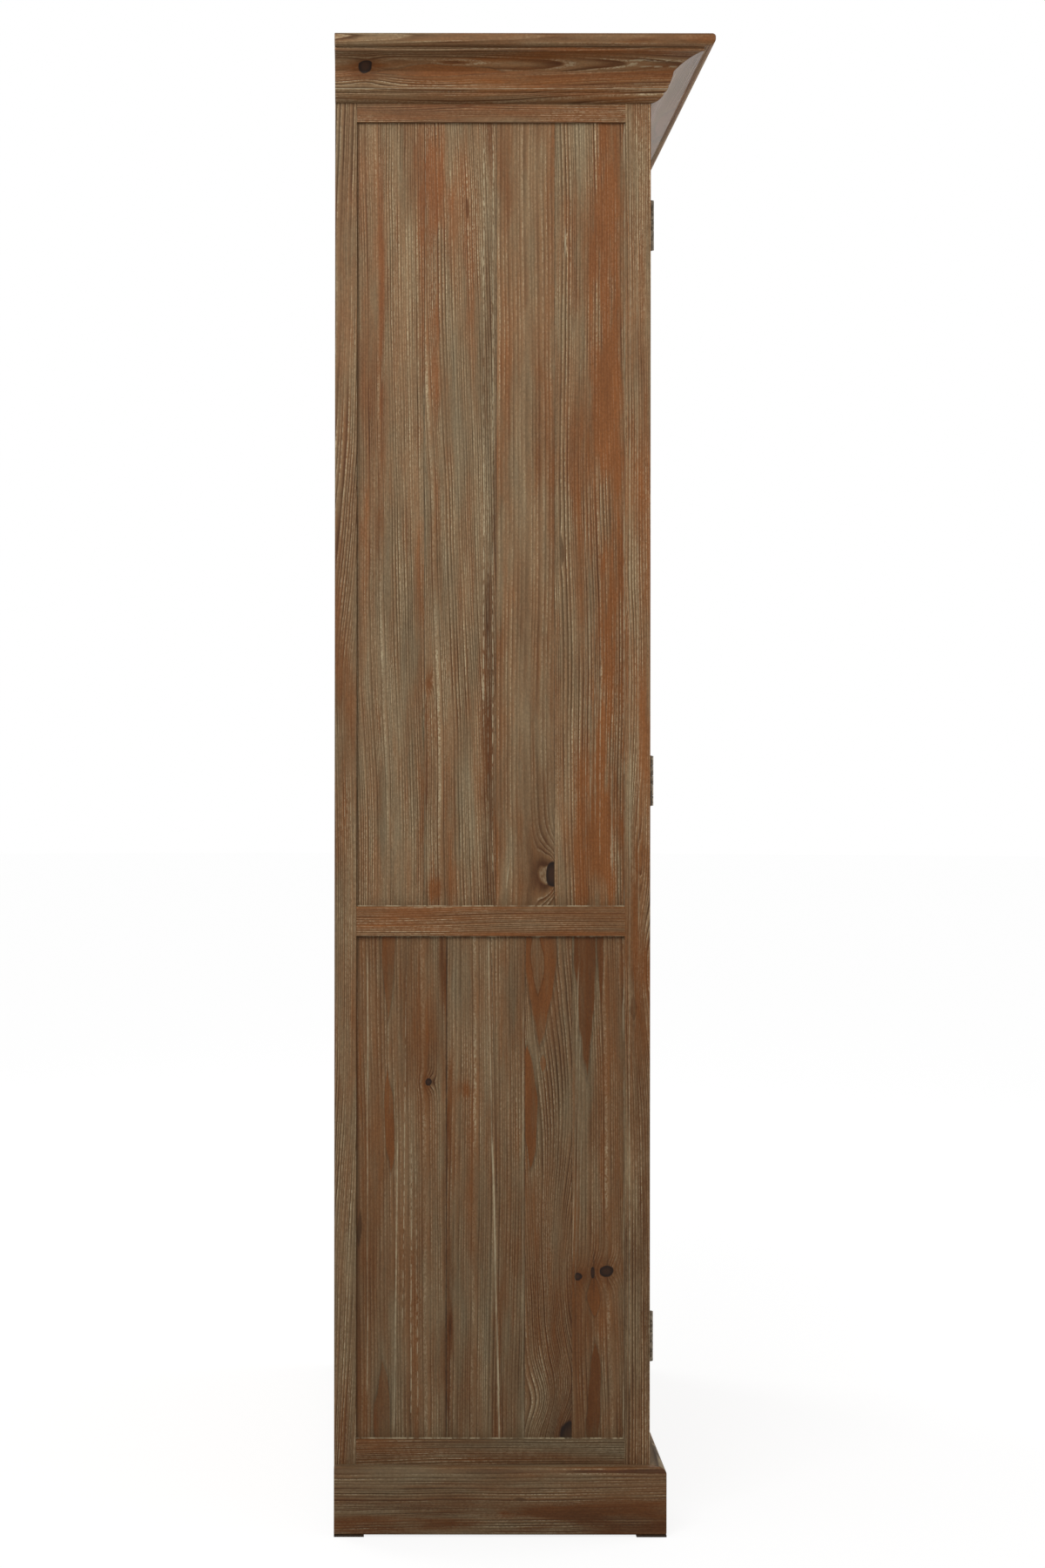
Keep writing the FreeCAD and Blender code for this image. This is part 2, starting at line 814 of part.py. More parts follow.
def make_door_panel(z_low, z_high):
    reach = groove_depth - panel_end_gap
    y_start = y_front + (door_thickness - door_groove_width) / 2 + groove_fit
    return span_box(
        (x_hinge_edge + door_stile_width - reach, x_meeting_edge - door_stile_width + reach),
        (y_start, y_start + door_groove_width - 2 * groove_fit),
        (z_low - reach, z_high + reach),
    )


def make_doors():
    mid_low = mid_rail_centre - door_mid_rail_width / 2
    mid_high = mid_rail_centre + door_mid_rail_width / 2
    bottom_high = door_low + door_bottom_rail_width
    top_low = door_high - door_top_rail_width
    make_door_stiles()
    add_both("door_top_rail", make_door_rail(top_low, door_high, True, False))
    add_both("door_mid_rail", make_door_rail(mid_low, mid_high, True, True))
    add_both("door_bottom_rail", make_door_rail(door_low, bottom_high, False, True))
    add_both("door_upper_panel", make_door_panel(mid_high, top_low))
    add_both("door_lower_panel", make_door_panel(bottom_high, mid_low))


# Hinges
def barrel_rod(corner_radius, z_low, z_high):
    """A rod on the left hinge axis."""
    foot = Vector(x_hinge_axis, y_hinge_axis, z_low)
    stations = [(0, corner_radius), (z_high - z_low, corner_radius)]
    return sided_solid(stations, barrel_sides, foot, Vector(0, 0, 1))


def make_leaf(x_face, direction, first_knuckle, centre):
    """A leaf let into the wood, with every second knuckle rolled round the pin. Between its
    own knuckles the plate is cut back to clear those of the other leaf."""
    z_low = centre - hinge_height / 2
    z_high = centre + hinge_height / 2
    leaf = span_box(
        (x_face, x_face + direction * leaf_thickness),
        (y_hinge_axis, y_front + leaf_width),
        (z_low, z_high),
    )
    pitch = hinge_height / knuckle_count
    half_gap = knuckle_end_gap / 2
    own = []
    others = []
    for number in range(knuckle_count):
        low = z_low + pitch * number
        high = low + pitch
        if number % 2 == first_knuckle:
            own.append(barrel_rod(knuckle_radius, low + half_gap, high - half_gap))
        else:
            others.append(barrel_rod(knuckle_radius + knuckle_side_clearance, low, high))
    leaf = leaf.cut(others).fuse(own)
    bore_radius = radius_round(hinge_pin_radius + hinge_pin_fit, barrel_sides)
    bore = barrel_rod(bore_radius, z_low - overrun, z_high + overrun)
    return leaf.cut(bore).removeSplitter()


def screw_places(centre):
    """Front-to-back place and height of each screw in a leaf."""
    middle = (screws_per_leaf - 1) / 2
    return [
        (y_front + screw_inset, centre + screw_pitch * (number - middle))
        for number in range(screws_per_leaf)
    ]


def make_screw(x_face, direction, y, z, fit):
    """A countersunk wood screw whose head is flush with x_face, or with a fit its hole."""
    stations = [
        (0, screw_head_radius + fit),
        (leaf_thickness, screw_shank_radius + fit),
        (screw_length, screw_tip_radius + fit),
    ]
    foot = Vector(x_face, y, z)
    return sided_solid(stations, screw_sides, foot, Vector(direction, 0, 0))


def make_hinges():
    leaves = {"frame": [], "door": []}
    screws = {"frame": [], "door": []}
    pins = []
    for centre in hinge_centres():
        for side, x_face, direction, first_knuckle in (
            ("frame", x_opening, -1, 0),
            ("door", x_hinge_edge, 1, 1),
        ):
            own = [make_screw(x_face, direction, y, z, 0) for y, z in screw_places(centre)]
            leaves[side].append(make_leaf(x_face, direction, first_knuckle, centre).cut(own))
            screws[side] += own
        pin_foot = Vector(x_hinge_axis, y_hinge_axis, centre - hinge_height / 2)
        pins.append(Part.makeCylinder(hinge_pin_radius, hinge_height, pin_foot))
    for name, left in (
        ("frame_hinge_leaves", leaves["frame"]),
        ("frame_hinge_screws", screws["frame"]),
        ("hinge_pins", pins),
    ):
        parts[name] = group(left + [mirrored(piece) for piece in left])
    add_both("door_hinge_leaves", group(leaves["door"]))
    add_both("door_hinge_screws", group(screws["door"]))


# Knobs, catches and strike plates
def knob_rod(stations, sides):
    """A many-sided solid on the left knob's axis. Distances run out from the door's face."""
    foot = Vector(x_knob, y_front, knob_height)
    return sided_solid(stations, sides, foot, Vector(0, -1, 0))


def make_knobs():
    """A knob with a foot, a neck and a domed head, and the bolt that holds it from behind."""
    foot = knob_rod([(0, knob_foot_radius), (knob_foot_height, knob_foot_radius)], knob_sides)
    head_stations = [
        (knob_neck_height, knob_neck_radius),
        (knob_rim_height, knob_head_radius),
        (knob_shoulder_height, knob_shoulder_radius),
        (knob_projection, knob_crown_radius),
    ]
    neck = knob_rod([(0, knob_neck_radius), (knob_neck_height, knob_neck_radius)], knob_sides)
    head = knob_rod(head_stations, knob_sides)
    knob = foot.fuse([neck, head]).removeSplitter()
    bolt_back = -door_thickness - bolt_head_height
    shank = knob_rod([(bolt_back, bolt_radius), (bolt_reach, bolt_radius)], bolt_sides)
    bolt_head_stations = [(bolt_back, bolt_head_radius), (-door_thickness, bolt_head_radius)]
    bolt = shank.fuse(knob_rod(bolt_head_stations, bolt_sides)).removeSplitter()
    add_both("door_knob", group([knob.cut(shank), bolt]))


def make_catches():
    y_face = y_door_back + strike_thickness + catch_gap
    y_span = (y_face, y_face + catch_depth)
    flange = span_box(
        (x_catch - catch_flange_width / 2, x_catch + catch_flange_width / 2),
        y_span,
        (opening_top - catch_flange_height, opening_top),
    )
    housing = span_box(
        (x_catch - catch_width / 2, x_catch + catch_width / 2),
        y_span,
        (opening_top - catch_height, opening_top),
    )
    catch = housing.fuse(flange).removeSplitter()
    parts["magnetic_catches"] = group([catch, mirrored(catch)])
    strike_high = door_high - strike_top_gap
    strike = span_box(
        (x_catch - strike_width / 2, x_catch + strike_width / 2),
        (y_door_back, y_door_back + strike_thickness),
        (strike_high - strike_height, strike_high),
    )
    add_both("door_strike_plate", strike)


make_sides()
make_front_rails()
make_floor_and_ceiling()
make_back()
make_plinth()
make_crown()
make_crown_blocks()
make_top_board()
make_standards()
make_shelves()
make_doors()
make_hinges()
make_knobs()
make_catches()

os.makedirs("parts", exist_ok=True)
for name, shape in parts.items():
    shape.exportStep(os.path.join("parts", name + ".step"))
print(len(parts), "nodes")
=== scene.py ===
"""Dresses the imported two-door cabinet: old limed pine outside, bare pine inside, aged metal."""

import bpy
import bmesh
import json
import math
import random
from mathutils import Matrix, Vector


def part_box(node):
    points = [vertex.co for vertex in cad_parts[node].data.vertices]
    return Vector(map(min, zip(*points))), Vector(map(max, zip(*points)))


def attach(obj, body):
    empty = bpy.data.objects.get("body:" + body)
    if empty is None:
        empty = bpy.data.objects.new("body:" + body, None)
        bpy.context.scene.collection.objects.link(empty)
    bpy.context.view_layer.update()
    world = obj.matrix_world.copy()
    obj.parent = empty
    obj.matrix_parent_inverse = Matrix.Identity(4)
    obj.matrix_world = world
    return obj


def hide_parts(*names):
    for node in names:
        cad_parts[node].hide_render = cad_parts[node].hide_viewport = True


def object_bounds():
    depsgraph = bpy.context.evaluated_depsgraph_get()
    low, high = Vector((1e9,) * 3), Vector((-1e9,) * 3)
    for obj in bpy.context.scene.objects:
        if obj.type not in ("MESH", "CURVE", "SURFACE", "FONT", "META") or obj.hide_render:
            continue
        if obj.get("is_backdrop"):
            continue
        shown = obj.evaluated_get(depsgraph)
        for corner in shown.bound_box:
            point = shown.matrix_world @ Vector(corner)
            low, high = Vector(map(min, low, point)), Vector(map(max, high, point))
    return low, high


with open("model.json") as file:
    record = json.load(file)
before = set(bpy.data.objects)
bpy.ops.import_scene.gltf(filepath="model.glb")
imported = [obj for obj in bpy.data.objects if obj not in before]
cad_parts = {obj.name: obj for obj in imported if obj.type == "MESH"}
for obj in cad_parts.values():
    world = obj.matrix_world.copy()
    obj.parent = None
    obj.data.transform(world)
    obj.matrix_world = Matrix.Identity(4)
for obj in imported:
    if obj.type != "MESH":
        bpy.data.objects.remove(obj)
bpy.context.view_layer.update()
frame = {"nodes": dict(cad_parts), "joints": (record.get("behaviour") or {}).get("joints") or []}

# Units

mm = 0.001


def srgb(red, green, blue):
    """A colour written in 0 to 255 screen values, as the shader's linear colour."""

    def linear(value):
        value = value / 255
        if value <= 0.04045:
            return value / 12.92
        return ((value + 0.055) / 1.055) ** 2.4

    return (linear(red), linear(green), linear(blue), 1.0)


def palette(places, *colours):
    """Colour stops for a tone."""
    return tuple((place, srgb(*colour)) for place, colour in zip(places, colours))


# Wood colours, from the greyest wash to the reddest heartwood: early wood, then late wood

limed_tones = (0.0, 0.3, 0.5, 0.72, 1.0)
limed_palette = (
    palette(limed_tones, (147, 128, 99), (146, 120, 89), (144, 111, 78), (141, 100, 64), (139, 87, 46)),
    palette(limed_tones, (88, 70, 48), (87, 64, 40), (86, 57, 34), (89, 52, 27), (98, 54, 25)),
)
bare_tones = (0.0, 0.5, 1.0)
bare_palette = (
    palette(bare_tones, (196, 166, 122), (188, 152, 104), (176, 130, 82)),
    palette(bare_tones, (166, 128, 82), (156, 112, 68), (140, 90, 50)),
)
dark_tones = (0.0, 1.0)
dark_palette = (
    palette(dark_tones, (62, 50, 38), (54, 42, 30)),
    palette(dark_tones, (46, 36, 26), (40, 30, 22)),
)
lime_white = srgb(187, 171, 139)
knot_heart = srgb(54, 34, 22)
knot_rim = srgb(28, 17, 11)
# The dark of joints and cracks, also used as painted shadow along the panel edges
gap_dark_and_painted_shadow = srgb(48, 33, 22)
grime_brown = srgb(84, 66, 42)

# Growth of the wood

ring_pitch = 3.3 * mm
wobble_size = 28 * mm
ripple_size = 3.0 * mm
sway_size = 20 * mm

# Sizes of dirt, painted shadow and lime in the edges, of the relief and of the wear

grime_height = 26 * mm
grime_waver = 90 * mm
shadow_width = 5 * mm
lime_width = 2.4 * mm
wood_relief = 0.35 * mm
metal_relief = 0.15 * mm
plastic_relief = 0.05 * mm
limed_wear = 0.9 * mm
bare_wear = 0.6 * mm
plate_wear = 0.2 * mm


class Tree:
    """A node tree, with a short call for each kind of node."""

    def __init__(self, tree):
        self.tree = tree

    def add(self, kind, **settings):
        node = self.tree.nodes.new(kind)
        for key, value in settings.items():
            setattr(node, key, value)
        return node

    def plug(self, socket, value):
        """Links another node's output to the socket, or sets a plain value."""
        if isinstance(value, bpy.types.NodeSocket):
            self.tree.links.new(value, socket)
        else:
            socket.default_value = value

    def fill(self, node, values):
        for socket, value in zip(node.inputs, values):
            self.plug(socket, value)
        return node

    def math(self, operation, *values, clamp=False):
        node = self.add("ShaderNodeMath", operation=operation, use_clamp=clamp)
        return self.fill(node, values).outputs[0]

    def times(self, first, second):
        return self.math("MULTIPLY", first, second)

    def minus(self, first, second):
        return self.math("SUBTRACT", first, second)

    def scaled_sum(self, value, scale, start, clamp=False):
        """The value times the scale, added to the start."""
        return self.math("MULTIPLY_ADD", value, scale, start, clamp=clamp)

    def vector_math(self, operation, *values):
        return self.fill(self.add("ShaderNodeVectorMath", operation=operation), values)

    def vector(self, *values):
        return self.fill(self.add("ShaderNodeCombineXYZ"), values).outputs[0]

    def place(self):
        return self.add("ShaderNodeTexCoord").outputs["Object"]

    def part(self, vector, index):
        """One part of a vector. A node that separates it would keep room for all three."""
        unit = [float(index == number) for number in range(3)]
        return self.vector_math("DOT_PRODUCT", vector, unit).outputs["Value"]

    def length(self, vector):
        return self.vector_math("LENGTH", vector).outputs["Value"]

    def noise(self, vector, scale, detail=2.0, roughness=0.5):
        node = self.add("ShaderNodeTexNoise")
        self.plug(node.inputs["Vector"], self.vector_math("MULTIPLY", vector, scale).outputs[0])
        self.plug(node.inputs["Scale"], 1.0)
        self.plug(node.inputs["Detail"], detail)
        self.plug(node.inputs["Roughness"], roughness)
        return node

    def centred_noise(self, vector, scale, detail=2.0, roughness=0.5):
        """Three noises round zero, as a vector."""
        colour = self.noise(vector, scale, detail, roughness).outputs["Color"]
        return self.vector_math("SUBTRACT", colour, (0.5, 0.5, 0.5)).outputs[0]

    def remap(self, value, low, high, out_low=0.0, out_high=1.0):
        """Smooth step between two values."""
        node = self.add("ShaderNodeMapRange", interpolation_type="SMOOTHSTEP")
        return self.fill(node, (value, low, high, out_low, out_high)).outputs[0]

    def ramp(self, value, stops):
        node = self.add("ShaderNodeValToRGB")
        self.plug(node.inputs[0], value)
        elements = node.color_ramp.elements
        while len(elements) < len(stops):
            elements.new(1.0)
        for element, (place, colour) in zip(elements, stops):
            element.position = place
        for element, (place, colour) in zip(elements, stops):
            element.color = colour
        return node.outputs[0]

    def levels(self, value, stops):
        """A curve of plain numbers through (place, height) stops."""
        return self.ramp(value, [(place, (height, height, height, 1.0)) for place, height in stops])

    def mix(self, factor, first, second, kind="MIX"):
        node = self.add("ShaderNodeMix", data_type="RGBA", blend_type=kind)
        self.plug(node.inputs[0], factor)
        self.plug(node.inputs[6], first)
        self.plug(node.inputs[7], second)
        return node.outputs[2]

    def darken(self, colour, value):
        return self.mix(1.0, colour, self.vector(value, value, value), "MULTIPLY")

    def use(self, group, *values):
        """Places a group and returns its outputs."""
        return list(self.fill(self.add("ShaderNodeGroup", node_tree=group), values).outputs)

    def seen(self):
        """1 for rays that show the backdrop: to the camera, in gloss and through glass. Else 0."""
        rays = self.add("ShaderNodeLightPath").outputs
        seen = self.math("MAXIMUM", rays["Is Camera Ray"], rays["Is Glossy Ray"])
        return self.math("MAXIMUM", seen, rays["Is Transmission Ray"])

    def show(self, shader, kind="Material"):
        self.plug(self.add(f"ShaderNodeOutput{kind}").inputs["Surface"], shader.outputs[0])

    def finish(self, colour, roughness, height, depth, **fixed):
        """Ends a material's tree with the surface shader."""
        surface = self.add("ShaderNodeBsdfPrincipled")
        self.plug(surface.inputs["Base Color"], colour)
        self.plug(surface.inputs["Roughness"], roughness)
        for key, value in fixed.items():
            surface.inputs[key.replace("_", " ")].default_value = value
        bump = self.add("ShaderNodeBump")
        bump.inputs["Distance"].default_value = depth
        self.plug(bump.inputs["Height"], height)
        self.plug(surface.inputs["Normal"], bump.outputs[0])
        self.show(surface)


def new_material(name):
    """A material and its empty tree."""
    material = bpy.data.materials.new(name)
    material.use_nodes = True
    material.node_tree.nodes.clear()
    return material, Tree(material.node_tree)


socket_kinds = {"f": "NodeSocketFloat", "v": "NodeSocketVector", "c": "NodeSocketColor"}


def group(name, inputs, outputs):
    """Makes a node group of the decorated function. Each socket is named with its kind's letter."""

    def build(function):
        made = bpy.data.node_groups.new(name, "ShaderNodeTree")
        for direction, labels in (("INPUT", inputs), ("OUTPUT", outputs)):
            for label in labels.split():
                kind, title = label.split(":")
                made.interface.new_socket(title, in_out=direction, socket_type=socket_kinds[kind])
        tree = Tree(made)
        entry = tree.add("NodeGroupInput")
        ending = tree.add("NodeGroupOutput")
        results = function(tree, *entry.outputs[: len(inputs.split())])
        tree.fill(ending, results)
        return made

    return build


@group("grain_noise", "f:along f:across f:through", "v:wobble v:ripple v:patch f:dash f:chip f:fibre")
def grain_noise(s, along, across, through):
    """Noises stretched along the grain, from broad to fine."""
    grain = s.vector(along, across, through)
    wobble = s.centred_noise(grain, (1.6, 6.0, 6.0), 1.0)
    ripple = s.centred_noise(grain, (8.0, 30.0, 30.0), 2.0)
    patch = s.centred_noise(grain, (5.0, 36.0, 36.0), 3.0, 0.6)
    dash = s.noise(grain, (75.0, 160.0, 160.0), 2.0, 0.6).outputs[0]
    chip = s.noise(grain, (240.0, 330.0, 330.0), 2.0, 0.6).outputs[0]
    fibre = s.noise(grain, (90.0, 900.0, 900.0), 2.0, 0.7).outputs[0]
    return wobble, ripple, patch, dash, chip, fibre


@group(
    "tree_rings",
    "f:across f:through f:run f:pith f:deep f:lean f:dive f:pitch v:wobble v:ripple",
    "f:pace",
)
def tree_rings(s, across, through, run, pith, deep, lean, dive, pitch, wobble, ripple):
    """How many rings lie between this point and the tree's heart."""
    offset = s.minus(across, s.scaled_sum(run, lean, pith))
    below = s.minus(through, s.scaled_sum(run, dive, deep))
    offset = s.scaled_sum(s.part(wobble, 0), wobble_size, offset)
    below = s.scaled_sum(s.part(wobble, 1), wobble_size, below)
    offset = s.scaled_sum(s.part(ripple, 0), ripple_size, offset)
    radius = s.length(s.vector(offset, below, 0.0))
    return (s.math("DIVIDE", radius, s.times(pitch, ring_pitch)),)


def spread(s, spot, centre, span):
    """How far the point lies from a figure's middle, in half sizes: the two parts, then the square."""
    away = s.vector_math("SUBTRACT", spot, centre).outputs[0]
    scaled = s.vector_math("MULTIPLY", away, span).outputs[0]
    return scaled, s.vector_math("DOT_PRODUCT", scaled, scaled).outputs["Value"]


def falling(s, distance, reach, here):
    """A bell over a figure, 1 in its middle."""
    return s.times(s.math("EXPONENT", s.times(distance, -1.0 / reach ** 2)), here)


figure_state = "f:pace f:tone f:dark f:calm f:core f:rim"
figure_inputs = f"v:spot v:centre v:span f:here f:rings f:add_tone f:add_dark {figure_state}"


@group("soft_figure", figure_inputs, figure_state)
def soft_figure(s, spot, centre, span, here, rings, add_tone, add_dark, pace, tone, dark, calm, core, rim):
    """A soft swelling of the rings with a tone of its own, stronger in some patches."""
    scaled, distance = spread(s, spot, centre, span)
    swell = falling(s, distance, 1.0, here)
    pace = s.scaled_sum(swell, rings, pace)
    swell = s.times(swell, s.remap(s.part(spot, 2), -0.16, 0.16, 0.3, 1.5))
    tone = s.scaled_sum(swell, add_tone, tone)
    dark = s.scaled_sum(swell, add_dark, dark)
    return pace, tone, dark, calm, core, rim


@group("flame_figure", figure_inputs, figure_state)
def flame_figure(s, spot, centre, span, here, rings, add_tone, add_dark, pace, tone, dark, calm, core, rim):
    """A pointed patch with a clear edge, as a cut through one thick ring shows."""
    scaled, distance = spread(s, spot, centre, span)
    uneven = s.part(spot, 2)
    swell = falling(s, distance, 1.0, here)
    sides = s.vector_math("ABSOLUTE", scaled).outputs[0]
    point = s.math("ADD", s.math("POWER", s.part(sides, 1), 1.8), s.part(sides, 0))
    point = s.scaled_sum(uneven, 0.9, point)
    body = s.times(s.remap(point, 0.84, 1.0, 1.0, 0.0), here)
    outline = s.times(s.remap(point, 1.0, 1.15, 1.0, 0.0), here)
    outline = s.minus(outline, body)
    halo = s.times(s.remap(point, 1.1, 2.2, 1.0, 0.0), here)
    halo = s.minus(halo, body)
    pace = s.scaled_sum(swell, rings, pace)
    mottled = s.times(body, s.scaled_sum(uneven, 1.2, 0.9))
    tone = s.scaled_sum(mottled, add_tone, tone)
    tone = s.scaled_sum(halo, s.times(add_tone, -0.35), tone)
    dark = s.scaled_sum(body, add_dark, dark)
    dark = s.scaled_sum(outline, 0.25, dark)
    calm = s.math("MAXIMUM", calm, s.times(s.scaled_sum(halo, 0.5, body), 0.8))
    return pace, tone, dark, calm, core, rim


knot_spread = 2.3


@group("knot_figure", figure_inputs, figure_state)
def knot_figure(s, spot, centre, span, here, rings, add_tone, add_dark, pace, tone, dark, calm, core, rim):
    """A dark knot with the grain flowing round it, in crisp lines."""
    scaled, distance = spread(s, spot, centre, span)
    uneven = s.part(spot, 2)
    swell = falling(s, distance, knot_spread, here)
    pace = s.scaled_sum(swell, rings, pace)
    tone = s.scaled_sum(swell, add_tone, tone)
    dark = s.scaled_sum(swell, add_dark, dark)
    away = s.scaled_sum(uneven, 0.5, s.math("SQRT", distance))
    inside = s.times(s.remap(away, 0.86, 1.06, 1.0, 0.0), here)
    core = s.math("MAXIMUM", core, inside)
    rim = s.math("MAXIMUM", rim, s.times(s.remap(away, 0.2, 0.95), inside))
    calm = s.scaled_sum(swell, -0.9, calm)
    return pace, tone, dark, calm, core, rim


@group(
    "grain_line",
    "f:across f:along f:run f:wave f:dash f:patch f:place f:low f:high f:lean f:width f:strength "
    "f:broken c:paint c:colour f:height",
    "c:colour f:height",
)
def grain_line(s, across, along, run, wave, dash, patch, place, low, high, lean, width, *rest):
    """A thin line along the grain, painted over the wood."""
    strength, broken, paint, colour, height = rest
    centre = s.minus(across, s.scaled_sum(run, lean, place))
    away = s.math("ABSOLUTE", s.math("ADD", centre, wave))
    away = s.math("DIVIDE", away, width)
    mask = s.times(s.remap(away, 0.3, 1.5, 1.0, 0.0), strength)
    worn = s.remap(dash, 0.4, 0.58, s.minus(1.0, broken), 1.0)
    mask = s.times(mask, worn)
    mask = s.times(mask, s.remap(patch, -0.16, 0.06, 0.35, 1.0))
    mask = s.times(mask, s.remap(s.minus(along, low), 0.0, 0.03))
    mask = s.times(mask, s.remap(s.minus(high, along), 0.0, 0.03))
    return s.mix(mask, colour, paint), s.scaled_sum(mask, -0.8, height)


@group(
    "panel_edges",
    "f:across f:along f:across_low f:across_high f:along_low f:along_high v:patch f:dash f:lime c:colour",
    "c:colour",
)
def panel_edges(s, across, along, across_low, across_high, along_low, along_high, patch, dash, lime, colour):
    """Dirt along a panel's bottom edge, painted shadow along its top edge and one side, and a thin line of
    lime left along three of its edges.
    """
    patches = [s.part(patch, index) for index in range(3)]
    above = s.minus(along, along_low)
    below = s.minus(along_high, along)
    beside = s.minus(across, across_low)
    grime = s.scaled_sum(patches[0], grime_waver, above)
    grime = s.remap(grime, -2 * mm, grime_height, 0.3, 0.0)
    colour = s.mix(grime, colour, grime_brown)
    # Painted shadow: a darker band along the top edge and the high side across, where the frame would shade
    # the sunken panel
    shaded = s.math("MINIMUM", s.minus(across_high, across), below)
    shaded = s.scaled_sum(patches[1], 10 * mm, shaded)
    colour = s.mix(s.remap(shaded, 1 * mm, shadow_width, 0.3, 0.0), colour, gap_dark_and_painted_shadow)
    edge = s.math("MINIMUM", above, s.scaled_sum(patches[2], 12 * mm, beside))
    edge = s.math("MINIMUM", edge, s.scaled_sum(patches[0], 8 * mm, below))
    edge = s.remap(edge, lime_width / 3, lime_width, 1.0, 0.0)
    edge = s.times(edge, s.remap(patches[1], -0.1, 0.08, 0.15, 0.8))
    edge = s.times(edge, s.times(lime, s.remap(dash, 0.34, 0.5, 0.3, 1.0)))
    return (s.mix(edge, colour, lime_white),)


def wood_surface(name, colours):
    """A group that colours the wood from its rings, tone and figures."""
    early, late = colours

    @group(
        name,
        f"f:along f:through {figure_state} v:wobble v:patch f:dash f:chip f:fibre f:shade f:lime",
        "c:colour f:height f:roughness",
    )
    def surface(
        s, along, through, pace, tone, dark, calm, core, rim, wobble, patch, dash, chip, fibre, shade, lime
    ):
        patches = [s.part(patch, index) for index in range(3)]
        uneven = s.add("ShaderNodeTexNoise", noise_dimensions="1D")
        s.plug(uneven.inputs["W"], s.times(pace, 0.31))
        uneven.inputs["Scale"].default_value = 1.0
        uneven.inputs["Detail"].default_value = 1.0
        pace = s.scaled_sum(uneven.outputs[0], 2.0, pace)
        ring = s.math("FRACT", pace)

        # Tone drifts along the rings and in patches
        follow = s.vector(along, s.times(pace, ring_pitch), through)
        drift = s.noise(follow, (3.5, 45.0, 6.0), 3.0, 0.6).outputs[0]
        tone = s.scaled_sum(s.minus(drift, 0.5), 1.1, tone)
        tone = s.scaled_sum(patches[0], 1.5, tone)
        tone = s.scaled_sum(s.part(wobble, 2), 0.6, tone, clamp=True)

        # Late wood is the darker line of each ring. The orange heartwood is worn smooth
        profile = s.levels(ring, ((0.0, 0.1), (0.45, 0.15), (0.75, 0.85), (0.9, 1.0), (1.0, 0.1)))
        keen = s.remap(patches[1], -0.16, 0.12, 0.3, 1.2)
        keen = s.times(keen, s.remap(tone, 0.66, 0.98, 1.0, 0.4))
        keen = s.times(keen, s.minus(1.0, calm))
        late_share = s.scaled_sum(s.minus(profile, 0.3), keen, 0.3)
        colour = s.mix(late_share, s.ramp(tone, early), s.ramp(tone, late))

        # Lime lies in the brushed groove beside the line, broken along its length
        groove = s.levels(ring, ((0.0, 0.6), (0.05, 1.0), (0.16, 0.8), (0.3, 0.0), (0.97, 0.0), (1.0, 0.6)))
        groove = s.times(s.times(groove, keen), s.remap(dash, 0.36, 0.6, 0.4, 1.0))
        groove = s.times(groove, s.remap(chip, 0.36, 0.6, 0.1, 1.1))
        groove = s.times(groove, s.remap(patches[2], -0.14, 0.16, 0.3, 1.0))
        colour = s.mix(s.times(s.times(groove, 0.8), lime), colour, lime_white)
        height = s.times(late_share, 0.6)
        height = s.scaled_sum(fibre, 0.3, height)

        value = s.times(s.scaled_sum(fibre, 0.6, 0.7), shade)
        value = s.times(value, s.scaled_sum(chip, 0.6, 0.7))
        value = s.times(value, s.scaled_sum(s.part(wobble, 1), 0.24, 1.0))
        value = s.times(value, s.scaled_sum(patches[2], 0.9, 1.0))
        value = s.times(value, s.minus(1.0, dark))
        colour = s.darken(colour, value)
        colour = s.mix(core, colour, s.mix(rim, knot_heart, knot_rim))
        height = s.scaled_sum(core, 0.4, height)
        return colour, height, s.remap(tone, 0.3, 1.0, 0.66, 0.5)

    return surface


limed_wood = wood_surface("limed_wood", limed_palette)
bare_wood = wood_surface("bare_wood", bare_palette)
dark_wood = wood_surface("dark_wood", dark_palette)


def figure(across, along, width, length, rings=0.0, tone=0.0, dark=0.0, board=None, kind=soft_figure):
    """A soft swelling of the grain, on one glued board or on all. Sizes are half sizes."""
    place = dict(across=across, along=along, width=width, length=length, board=board)
    return dict(place, kind=kind, rings=rings, tone=tone, dark=dark)


def flame(*place, **settings):
    return figure(*place, kind=flame_figure, **settings)


def knot(across, along, width, length, rings=3.0, board=None):
    """A dark knot, whose half sizes are those of its core."""
    return figure(across, along, width, length, rings, 0.2, 0.2, board, knot_figure)


def streak(across, low, high, lean=0.0, width=0.8, light=0.6, broken=1.0):
    """A thin line along the grain: lime in a crack, or a dark one where light is below 0."""
    place = dict(across=across, low=low, high=high, lean=lean, width=width * mm)
    return dict(place, light=light, broken=broken)


def board(pith=0.1, deep=0.05, lean=0.0, dive=0.0, tone=0.45, shade=1.0, pitch=1.0, calm=0.0):
    """How one board was cut: where the tree's heart lies, across it and below it, and how it looks."""
    cut = dict(pith=pith, deep=deep, lean=lean, dive=dive, pitch=pitch)
    return dict(cut, tone=tone, shade=shade, calm=calm)


